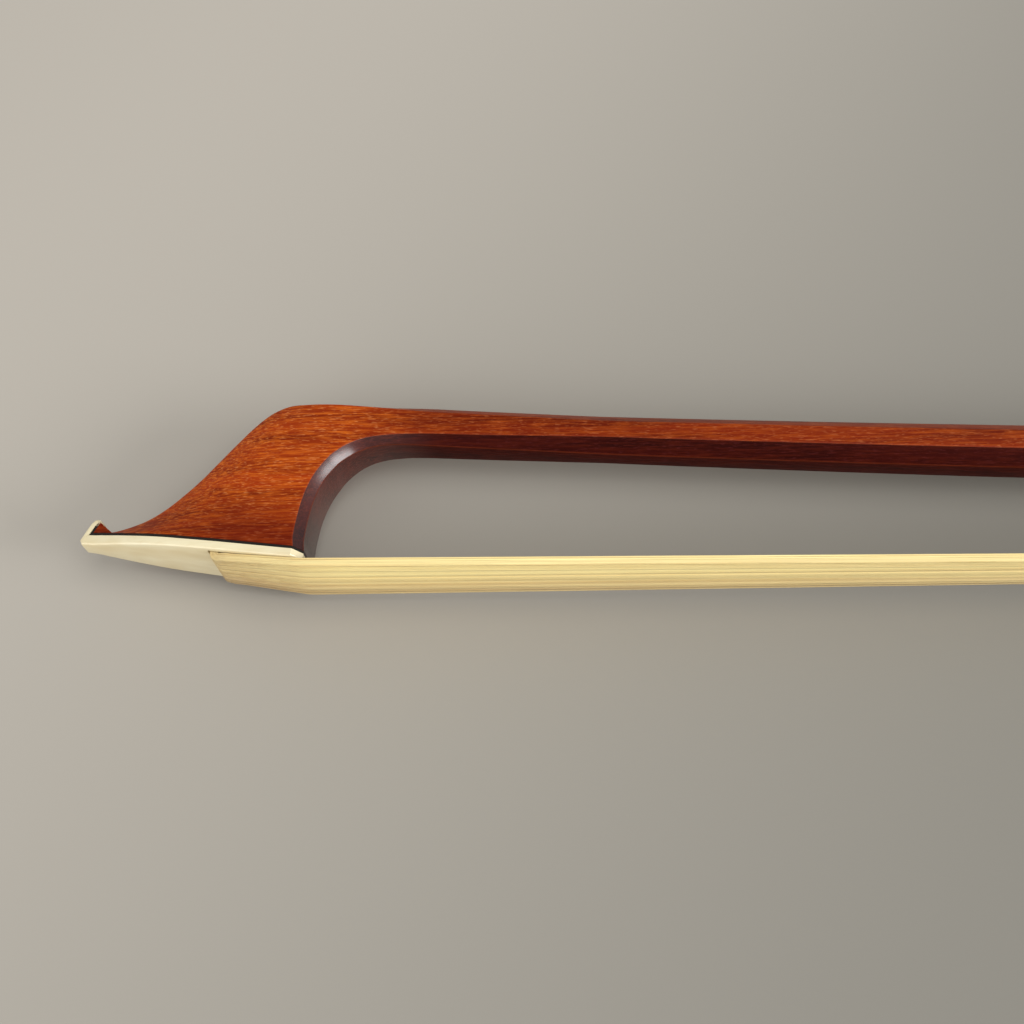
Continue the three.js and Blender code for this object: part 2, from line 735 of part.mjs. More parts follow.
// The front of the frog sweeps forward from the ferrule to the edge under the stick
function throatCurve() {
  const low = ferruleTopY + seatGap;
  const reach = shoulderX - frogFrontTip;
  const rise = throatFloorY - throatEdge - low;
  return Array.from({ length: throatSteps + 1 }, (unused, i) => {
    const angle = (Math.PI / 2) * (1 - i / throatSteps);
    return [frogFrontTip + reach * Math.cos(angle), low + rise * Math.sin(angle)];
  });
}

const slideTopY = frogBottomY + slidePearlThickness + glueLine + slideBaseThickness;
const hairRoofY = slideTopY + hairThickness + 2 * seatGap;
const slideEndX = frogLength - heelFoot - seatGap;
const frogMortiseEnd = frogMortiseStart + frogMortiseLength;
const eyeletHole = () => uprightRod(eyeletShankRadius + seatGap, eyeletShankY - seatGap,
  axis, eyeletX);

// A cylinder let into one side of the frog, square to its slanting face
function sideRod(radius, depth, proud, side) {
  const slant = Math.atan((frogBottomHalf - frogTopHalf) / (cheekY - frogBottomY));
  const share = (eyeY - frogBottomY) / (cheekY - frogBottomY);
  const half = frogBottomHalf + (frogTopHalf - frogBottomHalf) * share;
  const rod = new THREE.CylinderGeometry(radius, radius, depth + proud, roundSteps);
  rod.translate(0, (proud - depth) / 2, 0);
  rod.rotateX(Math.PI / 2 - slant);
  if (side < 0) {
    rod.rotateY(Math.PI);
  }
  return outward(rod.translate(eyeX, eyeY, side * half));
}

const sideRing = (outer, inner, depth, proud, side) => (
  cut(sideRod(outer, depth, proud, side), sideRod(inner, depth + cutOverrun, proud + cutOverrun, side)));

const eyeCutters = (side) => [
  sideRod(eyePearlRadius + seatGap, eyeDepth + seatGap, cutOverrun, side),
  sideRing(eyeRingOuter + seatGap, eyeRingInner - seatGap, eyeDepth + seatGap, cutOverrun, side)];

const linerScrewPlaces = [['front', linerScrewFrontX], ['back', frogLength - linerScrewToHeel]];
const linerFaceY = axis - stickHalf - slideGap;
const screwHeadTopY = linerFaceY - glueLine;
const screwHeadFootY = screwHeadTopY - linerScrewHeadHeight;

const linerScrewSeat = (x) => [
  uprightRod(linerScrewHeadRadius + seatGap, screwHeadFootY - seatGap, axis, x),
  uprightRod(linerScrewRadius + seatGap, screwHeadTopY - linerScrewLength - seatGap, axis, x)];

const lowerPinY = heelLowY / 2;
const upperPinShares = [0.25, 0.75];
const upperPinYs = upperPinShares.map((share) => heelHighY + (heelTopY - heelHighY) * share);
const heelPins = [['lower', frogLength, lowerPinY],
  ['middle', upperBackX + glueLine + heelPlate, upperPinYs[0]],
  ['upper', upperBackX + glueLine + heelPlate, upperPinYs[1]]];
const heelPinSeat = ([, endX, y]) => (
  rodAlongBow(heelPinRadius + seatGap, endX - heelPinLength - seatGap, endX + cutOverrun, y));

function frogBody() {
  const footTopY = frogBottomY + heelPlate + glueLine;
  const footX = frogLength - heelFoot;
  const side = [[shoulderX, frogBottomY], [footX, frogBottomY], [footX, footTopY],
    [bodyBackX, footTopY], [bodyBackX, heelLowY], [upperBackX, heelHighY], [upperBackX, cheekY],
    [frogFrontTip, cheekY], ...throatCurve()];
  const sides = common(acrossBow(side, frogBottomHalf + cutOverrun),
    alongBow(frogSection, -cutOverrun, frogLength + cutOverrun));
  const tongue = alongBow(dOutline(ferruleWall + seatGap, ferruleSideY), seatGap,
    shoulderX + cutOverrun);
  const channel = channelSide(slideGap + frogLinerThickness + glueLine, cheekY + cutOverrun);
  const slideWay = [[-slideHalfOuter - seatGap, frogBottomY - cutOverrun],
    [slideHalfOuter + seatGap, frogBottomY - cutOverrun],
    [slideHalfOuter + seatGap, frogBottomY], [slideHalfInner + seatGap, slideTopY],
    [slideHalfInner + seatGap, hairRoofY], [-slideHalfInner - seatGap, hairRoofY],
    [-slideHalfInner - seatGap, slideTopY], [-slideHalfOuter - seatGap, frogBottomY]];
  const body = cut(join(sides, tongue),
    alongBow(channel, -cutOverrun, frogLength + cutOverrun),
    alongBow(slideWay, shoulderX - cutOverrun, frogMortiseEnd),
    alongBow(slideWay.map(([z, y]) => [z, Math.min(y, slideTopY + seatGap)]),
      frogMortiseEnd - cutOverrun, footX),
    block(frogMortiseStart, frogMortiseEnd, slideTopY, frogMortiseTopY, frogMortiseHalf),
    eyeletHole(),
    ...linerScrewPlaces.flatMap(([, x]) => linerScrewSeat(x)),
    ...eyeCutters(1), ...eyeCutters(-1),
    ...heelPins.map(heelPinSeat));
  return piece('frog_body', body, ebony);
}

function frogLiner() {
  const outer = channelSide(slideGap + frogLinerThickness, cheekY);
  const inner = channelSide(slideGap, cheekY).reverse();
  const strip = alongBow([...outer, ...inner], frogFrontTip, upperBackX);
  const seats = linerScrewPlaces.map(([, x]) => linerScrewSeat(x)[0]);
  return piece('frog_liner', cut(strip, eyeletHole(), ...seats), silver);
}

function linerScrew([name, x]) {
  const head = uprightRod(linerScrewHeadRadius, screwHeadFootY, screwHeadTopY, x);
  const shank = uprightRod(linerScrewRadius, screwHeadTopY - linerScrewLength, screwHeadTopY, x);
  return piece(`liner_screw_${name}`, join(head, shank), steel);
}

function frogEyelet() {
  const corner = eyeletHalfWidth * eighthTurn;
  const head = [[-eyeletHalfWidth, axis - eyeletFoot], [eyeletHalfWidth, axis - eyeletFoot],
    [eyeletHalfWidth, axis + eyeletTop - corner], [eyeletHalfWidth - corner, axis + eyeletTop],
    [corner - eyeletHalfWidth, axis + eyeletTop], [-eyeletHalfWidth, axis + eyeletTop - corner]];
  const nut = alongBow(head, eyeletX - eyeletHalfLength, eyeletX + eyeletHalfLength,
    circle(screwRadius + eyeletHoleGap, smallRoundSteps, axis).reverse());
  const shank = uprightRod(eyeletShankRadius, eyeletShankY, axis - screwRadius - 2 * eyeletHoleGap,
    eyeletX);
  return piece('frog_eyelet', join(nut, shank), brass);
}

function ferruleWedge() {
  const half = ferruleHalfWidth - ferruleWall - seatGap;
  return piece('ferrule_wedge',
    block(wedgeSetback, wedgeSetback + wedgeLength, seatGap, wedgeHeight + seatGap, half), plugWood);
}

function slidePieces() {
  const seamY = frogBottomY + slidePearlThickness;
  const share = slidePearlThickness / (slideTopY - frogBottomY);
  const seamHalf = slideHalfOuter + (slideHalfInner - slideHalfOuter) * share;
  const face = [[-slideHalfOuter, frogBottomY], [slideHalfOuter, frogBottomY],
    [seamHalf, seamY], [-seamHalf, seamY]];
  const base = [[-seamHalf, seamY + glueLine], [seamHalf, seamY + glueLine],
    [slideHalfInner, slideTopY], [-slideHalfInner, slideTopY]];
  return [piece('slide_pearl', alongBow(face, shoulderX, slideEndX), pearl),
    piece('slide_base', alongBow(base, shoulderX, slideEndX), ebony)];
}

function frogHairPieces() {
  const place = (a, b, z) => new THREE.Vector3(a, b, z);
  const wall = frogMortiseEnd - seatGap;
  const face = slideTopY + seatGap + hairThickness;
  const turn = face + seatGap + frogPlugHeight + seatGap;
  const end = frogMortiseStart + frogMortiseLength * knotEndShare;
  const run = {
    outer: [[seatGap, -hairThickness], [ferruleRampStart, -hairThickness],
      [shoulderX, face - hairThickness]],
    inner: [[shoulderX, face], [ferruleRampStart, 0], [seatGap, 0]],
  };
  const body = profilePiece(hairOutline(run, wall, face, turn, end), hairHalfAtFrog + cutOverrun,
    place);
  const fanPlaces = [[seatGap, hairHalfAtFrog], [shoulderX, hairHalfBehindFerrule],
    [frogMortiseStart, hairHalfInFrog], [frogMortiseEnd, hairHalfInFrog]];
  const low = -hairThickness - cutOverrun;
  const high = frogMortiseTopY + cutOverrun;
  const fan = loft(fanPlaces.map(([x, half]) => [place(x, high, half), place(x, low, half),
    place(x, low, -half), place(x, high, -half)]));
  const plug = profilePiece(
    plugOutline(frogMortiseStart + seatGap, wall, face + seatGap, turn - seatGap),
    frogMortiseHalf - seatGap, place);
  return [piece('frog_hair', common(body, fan), horseHair), piece('frog_plug', plug, plugWood),
    ...knotPieces('frog', end, turn, place)];
}

const inFrogSection = (geometry) => (
  common(geometry, alongBow(frogSection, -cutOverrun, frogLength + cutOverrun)));

function heelPieces() {
  const seats = heelPins.map(heelPinSeat);
  const footX = frogLength - heelFoot + glueLine;
  const foot = frogBottomY + heelPlate;
  const lower = inFrogSection(acrossBow([[footX, frogBottomY], [frogLength, frogBottomY],
    [frogLength, heelLowY], [frogLength - heelPlate, heelLowY], [frogLength - heelPlate, foot],
    [footX, foot]], frogBottomHalf + cutOverrun));
  const startX = upperBackX + glueLine;
  const upper = inFrogSection(
    block(startX, startX + heelPlate, heelHighY, heelTopY, frogBottomHalf + cutOverrun));
  return [piece('heel_plate_lower', cut(lower, ...seats), silver),
    piece('heel_plate_upper', cut(upper, ...seats), silver),
    ...heelPins.map(([name, endX, y]) => piece(`heel_pin_${name}`,
      rodAlongBow(heelPinRadius, endX - heelPinLength, endX, y), silver))];
}

const eyePieces = [['left', 1], ['right', -1]].flatMap(([name, side]) => [
  piece(`eye_pearl_${name}`, sideRod(eyePearlRadius, eyeDepth, 0, side), pearl),
  piece(`eye_ring_${name}`, sideRing(eyeRingOuter, eyeRingInner, eyeDepth, 0, side), silver)]);

// Button. Its pieces are drawn with X from the butt of the stick.

const collarStart = buttonGap;
const coreStart = buttonGap + nippleLength;
const rearCollarStart = buttonGap + buttonLength - buttonCollarLength;
const buttonEnd = buttonGap + buttonLength;
const pearlStart = buttonEnd - buttonPearlThickness;

// The thread is a right-handed ridge that winds round the front end of the screw
function buttonScrew() {
  const tip = screwTipX - stickLength;
  const threadEnd = slotEndX - stickLength;
  const steps = Math.round(((threadEnd - tip) / screwPitch) * threadStepsPerTurn);
  const ring = (x, radiusAt) => Array.from({ length: threadSides }, (unused, i) => {
    const turn = i / threadSides;
    const radius = radiusAt(turn);
    const angle = 2 * Math.PI * turn;
    return new THREE.Vector3(x, axis + radius * Math.cos(angle), radius * Math.sin(angle));
  });
  const rings = [ring(tip, () => screwRootRadius / 2), ring(tip + screwPointLength,
    () => screwRootRadius)];
  for (let i = threadStepsPerTurn * 2; i <= steps; i += 1) {
    const x = tip + (i * screwPitch) / threadStepsPerTurn;
    rings.push(ring(x, (turn) => {
      const phase = THREE.MathUtils.euclideanModulo((x - tip) / screwPitch - turn, 1);
      const height = 1 - Math.abs(2 * phase - 1);
      return screwRootRadius + (screwRadius - screwRootRadius) * height;
    }));
  }
  rings.push(ring(threadEnd + screwPitch, () => screwRadius),
    ring(screwInButton, () => screwRadius));
  return piece('button_screw', loft(rings), steel);
}

function buttonCore() {
  const start = collarStart + buttonCollarLength + seatGap;
  const end = rearCollarStart - seatGap;
  const waistShares = [0, 0.25, 0.5, 0.75, 1];
  const rings = waistShares.map((share) => {
    const dip = buttonWaist * Math.sin(Math.PI * share);
    return octagon(buttonFlats - 2 * dip, axis).map(([z, y]) => (
      new THREE.Vector3(start + (end - start) * share, y, z)));
  });
  const stem = rodAlongBow(buttonStemRadius, coreStart + seatGap, pearlStart - seatGap, axis,
    roundSteps);
  const bore = rodAlongBow(screwRadius + seatGap, 0, screwInButton + seatGap, axis);
  return piece('button_core', cut(join(loft(rings), stem), bore), ebony);
}

function buttonCollars() {
  const hole = (start, end) => rodAlongBow(buttonStemRadius + seatGap, start, end, axis, roundSteps);
  const front = cut(alongBow(octagon(buttonFlats, axis), collarStart, collarStart + buttonCollarLength),
    hole(-cutOverrun, collarStart + buttonCollarLength + cutOverrun));
  const back = cut(alongBow(octagon(buttonFlats, axis), rearCollarStart, buttonEnd),
    hole(rearCollarStart - cutOverrun, pearlStart),
    rodAlongBow(buttonPearlRadius + seatGap, rearCollarStart, buttonEnd + cutOverrun, axis,
      roundSteps));
  return [piece('button_collar_front', front, silver), piece('button_collar_back', back, silver)];
}

const buttonPearl = () => piece('button_pearl',
  rodAlongBow(buttonPearlRadius, pearlStart, buttonEnd, axis, roundSteps), pearl);

// Assembly

const bow = new THREE.Group();
bow.add(stickPiece(), tipPlate(), tipLiner(), ...tipHairPieces(), hairRibbon(),
  piece('wire_winding', sleeve(windingStartX, leatherStartX, windingThickness), silver),
  piece('thumb_leather', sleeve(leatherStartX, leatherEndX, leatherThickness), leather));

const frog = new THREE.Group();
frog.position.x = frogFrontX;
frog.add(frogBody(), frogLiner(), ...linerScrewPlaces.map(linerScrew), frogEyelet(), ferrule(),
  ferruleWedge(), ...slidePieces(), ...frogHairPieces(), ...heelPieces(), ...eyePieces);
bow.add(frog);

const button = new THREE.Group();
button.position.x = stickLength;
button.add(buttonScrew(), buttonCore(), ...buttonCollars(), buttonPearl());
bow.add(button);

const box = new THREE.Box3().setFromObject(bow);
const middle = box.getCenter(new THREE.Vector3());
bow.position.set(-middle.x, -middle.y, -box.min.z);

export default bow;
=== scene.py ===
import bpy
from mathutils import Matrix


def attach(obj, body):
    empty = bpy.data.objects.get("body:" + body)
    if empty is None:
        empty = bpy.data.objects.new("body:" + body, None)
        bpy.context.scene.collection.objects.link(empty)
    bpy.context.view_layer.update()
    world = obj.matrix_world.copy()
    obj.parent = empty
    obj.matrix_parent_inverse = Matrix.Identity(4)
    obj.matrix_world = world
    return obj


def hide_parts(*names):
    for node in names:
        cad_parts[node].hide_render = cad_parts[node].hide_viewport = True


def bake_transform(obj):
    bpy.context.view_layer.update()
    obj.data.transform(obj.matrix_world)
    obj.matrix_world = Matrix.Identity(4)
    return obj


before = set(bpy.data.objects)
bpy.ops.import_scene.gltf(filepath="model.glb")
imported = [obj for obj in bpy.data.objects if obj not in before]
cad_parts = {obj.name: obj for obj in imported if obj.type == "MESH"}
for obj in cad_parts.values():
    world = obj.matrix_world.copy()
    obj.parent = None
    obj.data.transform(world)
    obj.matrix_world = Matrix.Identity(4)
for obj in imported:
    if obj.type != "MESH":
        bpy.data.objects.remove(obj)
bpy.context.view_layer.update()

import bmesh
import bpy
import math
import random
from mathutils import Matrix, Vector
from mathutils import noise as mathutils_noise


# Camera
# It looks at the head from the hair side, a little from below, as the photograph does. Places on
# the bow are in millimetres: X from the nose, Y up from the hair, Z across.
NOSE_X = -358.0
HAIR_FACE_Y = -13.125
MIDDLE_Z = 7.25
MM = 0.001


def on_bow(x, y, z):
    return Vector((x + NOSE_X, y + HAIR_FACE_Y, z + MIDDLE_Z)) * MM


camera_place = on_bow(58.05, -54.12, 121.99)
camera_tilt = math.asin(0.4586)
camera_roll = math.radians(-0.6)
camera_data = bpy.data.cameras.new("camera")
camera_data.lens = 35.156
camera_data.sensor_width = 36
camera_data.clip_start = 0.005
camera = bpy.data.objects.new("camera", camera_data)
bpy.context.scene.collection.objects.link(camera)
camera.matrix_world = (Matrix.Translation(camera_place) @ Matrix.Rotation(camera_tilt, 4, "X")
                       @ Matrix.Rotation(camera_roll, 4, "Z"))
bpy.context.scene.camera = camera


# Stick with its head
# One piece of pernambuco, planed to eight facets, bent over heat and polished. The head is carved
# with a ridge in front, bevelled cheeks and a narrow throat, and its face is mortised for the hair.
HEAD_LENGTH = 30.65
HEAD_HEIGHT = 25.3
HEAD_HALF_WIDTH = 5.1
THROAT_CHAMFER = 1.3
RIDGE_CHAMFER = 0.9
NOSE_FLAT_SHARE = 0.33
STICK_LENGTH = 700
STICK_START_X = HEAD_LENGTH + 15
OCTAGON_FULL_X = STICK_START_X + 25
FIRST_CHAMFER = 1.25
FLATS_AT_HEAD = 6.1
FLATS_AT_HANDLE = 8.8
CAMBER_LOW_X = STICK_LENGTH * 0.4257
HANDLE_START_X = 610
AXIS_AT_HEAD = 22.5
AXIS_AT_LOW = 14.4
AXIS_AT_HANDLE = 22.9
PLATE_TILT = math.radians(7.4)
PLATE_THICKNESS = 1.1
LINER_THICKNESS = 0.3
GLUE_LINE = 0.05
WOOD_FACE = PLATE_THICKNESS + GLUE_LINE + LINER_THICKNESS + GLUE_LINE
NOSE_SETBACK = 0.35
NOSE_LEDGE = 1.7
PLATE_LENGTH = (HEAD_LENGTH - NOSE_SETBACK) / math.cos(PLATE_TILT)
WOOD_FACE_LENGTH = PLATE_LENGTH - NOSE_LEDGE
NOSE_THICKER = 0.28
NOSE_LIFT_START = 10
ARRIS_RADIUS = 0.16
# The lighter colour on the ridge bevel is a painted highlight; on the arrises it is wear
RIDGE_PAINTED_HIGHLIGHT = 0.5
ARRIS_WEAR = 0.12
HALF_FACET = math.tan(math.pi / 8)
CHEEK_SHARES = [0.05, 0.12, 0.2, 0.28, 0.37, 0.47, 0.58, 0.7, 0.82, 0.92]
TAPER_SHARES = [(0, 0), (0.044, 0.04), (0.144, 0.31), (0.5, 0.71), (1, 1)]
FRONT_SHARES = [(0, 0.3), (0.03, 0.4), (0.16, 0.61), (0.3, 0.8), (0.53, 0.92), (0.92, 1), (1.5, 1)]
FRONT_FULLNESS = 1.6
# Throat point, ridge point, half width, flat on the ridge and squareness of each head section
HEAD_SHARES = [
    (1.002, 0.107, 0.093, 0.211, 0.995, 0.27, 0),
    (1.003, 0.15, 0.132, 0.219, 0.985, 0.2, 0),
    (1.006, 0.198, 0.191, 0.242, 0.97, 0.13, 0),
    (1.011, 0.253, 0.26, 0.28, 0.955, 0.1, 0),
    (1.019, 0.316, 0.327, 0.338, 0.94, 0.08, 0),
    (1.031, 0.379, 0.399, 0.423, 0.93, 0.07, 0),
    (1.049, 0.447, 0.475, 0.529, 0.915, 0.07, 0),
    (1.07, 0.502, 0.55, 0.648, 0.895, 0.07, 0.05),
    (1.096, 0.553, 0.628, 0.773, 0.865, 0.08, 0.1),
    (1.124, 0.601, 0.7, 0.876, 0.83, 0.1, 0.2),
    (1.157, 0.64, 0.768, 0.948, 0.79, 0.14, 0.35),
    (1.196, 0.676, 0.846, 0.994, 0.745, 0.2, 0.5),
    (1.248, 0.708, 0.934, 1, 0.71, 0.28, 0.7),
    (1.303, 0.726, 1.046, 0.999, 0.68, 0.4, 0.85),
    (1.378, 0.735, 1.212, 0.986, 0.645, 0.52, 0.95),
]


def read(table, place):
    if place <= table[0][0]:
        return table[0][1]
    for (before, low), (after, high) in zip(table, table[1:]):
        if place <= after:
            return low + (high - low) * (place - before) / (after - before)
    return table[-1][1]


def read_smooth(table, place, reach=0.07):
    """The table's mean over a short reach on both sides of a place."""
    steps = 8
    spots = [place + reach * (2 * i / steps - 1) for i in range(steps + 1)]
    return sum(read(table, max(spot, 0)) for spot in spots) / len(spots)


def clamp(value, low=0.0, high=1.0):
    return max(low, min(high, value))


def axis_y(x):
    if x <= CAMBER_LOW_X:
        share = (CAMBER_LOW_X - x) / (CAMBER_LOW_X - HEAD_LENGTH)
        return AXIS_AT_LOW + (AXIS_AT_HEAD - AXIS_AT_LOW) * share ** 2
    share = clamp((x - CAMBER_LOW_X) / (HANDLE_START_X - CAMBER_LOW_X))
    return AXIS_AT_LOW + (AXIS_AT_HANDLE - AXIS_AT_LOW) * share * share * (3 - 2 * share)


def flats_at(x):
    share = read(TAPER_SHARES, (x - STICK_START_X) / (HANDLE_START_X - STICK_START_X))
    return FLATS_AT_HEAD + (FLATS_AT_HANDLE - FLATS_AT_HEAD) * share


def on_plate(s, t, z=0.0):
    return Vector((HEAD_LENGTH - s * math.cos(PLATE_TILT) + t * math.sin(PLATE_TILT),
                   s * math.sin(PLATE_TILT) + t * math.cos(PLATE_TILT), z))


def nose_lift(s):
    """The plate is filed thicker towards the nose, by this much at a place s along it."""
    return NOSE_THICKER * clamp((s - NOSE_LIFT_START) / (WOOD_FACE_LENGTH - NOSE_LIFT_START)) ** 2


def section(inner, outer, profile):
    """A ring from the middle of the inner face round both sides; profile is (distance, half)."""
    along = (outer - inner).normalized()
    rows = [inner + along * distance for distance, half in profile]
    left = [Vector((p.x, p.y, half)) for p, (distance, half) in zip(rows, profile)]
    right = [Vector((p.x, p.y, -half)) for p, (distance, half) in zip(rows, profile)]
    return [inner.copy()] + left + [outer.copy()] + right[::-1]


def facet_profile(height, half, inner_chamfer, outer_chamfer, width_at, outer_half):
    between = height - inner_chamfer - outer_chamfer
    profile = [(0, half - inner_chamfer), (inner_chamfer, width_at(height - inner_chamfer))]
    for share in reversed(CHEEK_SHARES):
        from_ridge = outer_chamfer + between * share
        profile.append((height - from_ridge, width_at(from_ridge)))
    profile += [(height - outer_chamfer, width_at(outer_chamfer)), (height, outer_half)]
    return profile


def head_section(inner, outer, half_share, flat_share, square):
    half = HEAD_HALF_WIDTH * half_share
    foot = on_plate(WOOD_FACE_LENGTH, WOOD_FACE).y
    quicker = 1 + FRONT_FULLNESS * (outer.y - foot) / (HEAD_HEIGHT - foot)

    def width_at(from_ridge):
        rounded = read_smooth(FRONT_SHARES, from_ridge * quicker / HEAD_LENGTH)
        return half * (rounded + (1 - rounded) * square)

    profile = facet_profile((outer - inner).length, half, THROAT_CHAMFER, RIDGE_CHAMFER, width_at,
                            half * flat_share)
    return section(inner, outer, profile)


def stick_section(x, grow=0.0):
    height = flats_at(x) + 2 * grow
    half = height / 2
    full = flats_at(x) / 2 * (1 - HALF_FACET)
    share = clamp((x - STICK_START_X) / (OCTAGON_FULL_X - STICK_START_X))
    chamfer = FIRST_CHAMFER + (full - FIRST_CHAMFER) * share + grow * (2 - math.sqrt(2))
    y = axis_y(x)
    profile = facet_profile(height, half, chamfer, chamfer, lambda from_ridge: half, half - chamfer)
    return section(Vector((x, y - half, 0)), Vector((x, y + half, 0)), profile)


def faired(rings, steps):
    """More rings between the given ones, on curves that pass through all of them."""
    centres = [sum(ring, Vector()) / len(ring) for ring in rings]
    spans = [(b - a).length for a, b in zip(centres, centres[1:])]

    def slope(i, k):
        if i == 0:
            return (rings[1][k] - rings[0][k]) / spans[0]
        if i == len(rings) - 1:
            return (rings[i][k] - rings[i - 1][k]) / spans[i - 1]
        before = (rings[i][k] - rings[i - 1][k]) / spans[i - 1]
        after = (rings[i + 1][k] - rings[i][k]) / spans[i]
        return (before * spans[i] + after * spans[i - 1]) / (spans[i] + spans[i - 1])

    fine = []
    for i, span in enumerate(spans):
        for step in range(steps):
            u = step / steps
            ring = []
            for k, point in enumerate(rings[i]):
                other = rings[i + 1][k]
                ring.append(point * (2 * u ** 3 - 3 * u ** 2 + 1) + other * (3 * u ** 2 - 2 * u ** 3)
                            + slope(i, k) * span * (u ** 3 - 2 * u ** 2 + u)
                            + slope(i + 1, k) * span * (u ** 3 - u ** 2))
            fine.append(ring)
    return fine + [rings[-1]]


def skin(bm, rings):
    """A closed tube over rings of points on the bow; gives its rows of vertices."""
    count = len(rings[0])
    made = bmesh.ops.create_grid(bm, x_segments=count, y_segments=len(rings) - 1, size=1)
    verts = made["verts"]
    rows = [verts[r * (count + 1):(r + 1) * (count + 1)] for r in range(len(rings))]
    for row, ring in zip(rows, rings):
        for vert, point in zip(row, ring + ring[:1]):
            vert.co = on_bow(*point)
    bmesh.ops.weld_verts(bm, targetmap={row[-1]: row[0] for row in rows})
    rows = [row[:-1] for row in rows]
    for row in (rows[0], rows[-1]):
        bmesh.ops.contextual_create(bm, geom=row)
    return rows


def finished(name, bm, material, smooth_angle=30):
    bmesh.ops.recalc_face_normals(bm, faces=bm.faces)
    mesh = bpy.data.meshes.new(name)
    bm.to_mesh(mesh)
    bm.free()
    mesh.materials.append(material)
    mesh.shade_smooth()
    mesh.set_sharp_from_angle(angle=math.radians(smooth_angle))
    made = bpy.data.objects.new(name, mesh)
    bpy.context.scene.collection.objects.link(made)
    return made


def cut(piece, shape, operation="DIFFERENCE"):
    """Cuts what the function shape makes out of a piece, or joins it on."""
    bm = bmesh.new()
    shape(bm)
    bmesh.ops.recalc_face_normals(bm, faces=bm.faces)
    tool_mesh = bpy.data.meshes.new("tool")
    bm.to_mesh(tool_mesh)
    bm.free()
    tool = bpy.data.objects.new("tool", tool_mesh)
    bpy.context.scene.collection.objects.link(tool)
    step = piece.modifiers.new("carve", "BOOLEAN")
    step.operation = operation
    step.object = tool
    step.solver = "EXACT"
    depsgraph = bpy.context.evaluated_depsgraph_get()
    depsgraph.update()
    result = bpy.data.meshes.new_from_object(piece.evaluated_get(depsgraph))
    piece.modifiers.remove(step)
    old = piece.data
    piece.data = result
    bpy.data.meshes.remove(old)
    bpy.data.objects.remove(tool)
    bpy.data.meshes.remove(tool_mesh)


def bevelled(bm, edges, radius, segments):
    return bmesh.ops.bevel(bm, geom=edges, offset=radius * MM, segments=segments, profile=0.5,
                           affect="EDGES", material=-1, clamp_overlap=True)


def crosswise(a, b, half):
    """Four corners: a and b in the middle plane, moved out by half to the two sides."""
    return [Vector((p.x, p.y, z)) for p, z in ((a, half), (b, half), (b, -half), (a, -half))]


MORTISE_BACK = 3.2
MORTISE_FRONT = 12.5
MORTISE_DEPTH = 9
MORTISE_HALF_MOUTH = 3.95
MORTISE_HALF_DEEP = 3.1


def tip_mortise(bm):
    levels = [(-2, MORTISE_HALF_MOUTH), (WOOD_FACE, MORTISE_HALF_MOUTH),
              (MORTISE_DEPTH, MORTISE_HALF_DEEP)]
    skin(bm, [crosswise(on_plate(MORTISE_BACK, t), on_plate(MORTISE_FRONT, t), half)
              for t, half in levels])


base_section = head_section(on_plate(0, WOOD_FACE), on_plate(WOOD_FACE_LENGTH, WOOD_FACE),
                            1, NOSE_FLAT_SHARE, 0)
for point in base_section:
    point += (on_plate(0, 1) - on_plate(0, 0)) * nose_lift((point - on_plate(0, WOOD_FACE)).length)
head_sections = [base_section]
for throat_x, throat_y, ridge_x, ridge_y, half, flat, square in HEAD_SHARES:
    head_sections.append(head_section(
        Vector((throat_x * HEAD_LENGTH, throat_y * HEAD_HEIGHT, 0)),
        Vector((ridge_x * HEAD_LENGTH, ridge_y * HEAD_HEIGHT, 0)), half, flat, square))
behind_head = [STICK_START_X + (OCTAGON_FULL_X - STICK_START_X) * i / 4 for i in range(5)]
rings_apart = 4
stick_rings = faired(head_sections + [stick_section(x) for x in behind_head], rings_apart)
camber_steps = 60
stick_rings += [stick_section(OCTAGON_FULL_X + (STICK_LENGTH - OCTAGON_FULL_X) * i / camber_steps)
                for i in range(1, camber_steps + 1)]

bm = bmesh.new()
wear_and_highlight = bm.faces.layers.float.new("arris")
stick_rows = skin(bm, stick_rings)
side_points = len(CHEEK_SHARES) + 4
# Faces on the hair side: their wood colour is darkened as painted shade, and near the throat they get
# more polish
hair_side_shade_and_polish = bm.faces.layers.float.new("hair_side_shade_and_polish")
hair_side = {row[column] for row in stick_rows for column in (0, 1, 2, -1, -2)}
ridge_bevel = {row[column] for row in stick_rows[:rings_apart * len(HEAD_SHARES)]
               for column in (side_points - 1, side_points, side_points + 2, side_points + 3)}
for face in bm.faces:
    face[hair_side_shade_and_polish] = float(hair_side.issuperset(face.verts))
    face[wear_and_highlight] = RIDGE_PAINTED_HIGHLIGHT * ridge_bevel.issuperset(face.verts)
arris_columns = [1, 2, side_points - 1, side_points]
arris_columns += [2 * side_points + 2 - c for c in arris_columns]
arrises = []
for row, following in zip(stick_rows, stick_rows[1:]):
    for column in arris_columns:
        arrises.append(bm.edges.get((row[column], following[column])))
for face in bevelled(bm, arrises, ARRIS_RADIUS, 3)["faces"]:
    face[wear_and_highlight] = max(ARRIS_WEAR, face[wear_and_highlight])

NOSE_RISE = 0.63
NOSE_HALF_WIDTH = 1.4
BEAK_LEAN = math.radians(25)
BEAK_LENGTH = 3.55
BEAK_THICKNESS = 0.75
BEAK_LINER_LENGTH = 2.7
BEAK_LINER_THICKNESS = 0.3
beak_along = Vector((math.sin(BEAK_LEAN), math.cos(BEAK_LEAN), 0))
beak_inward = Vector((math.cos(BEAK_LEAN), -math.sin(BEAK_LEAN), 0))
plate_along = on_plate(1, 0) - on_plate(0, 0)
beak_foot = on_plate(PLATE_LENGTH, 0) + Vector((-NOSE_SETBACK, NOSE_RISE, 0))


def beak_point(depth, length):
    return beak_foot + beak_inward * depth + beak_along * length


def meet(p, u, q, v):
    return p + u * (((q.x - p.x) * v.y - (q.y - p.y) * v.x) / (u.x * v.y - u.y * v.x))


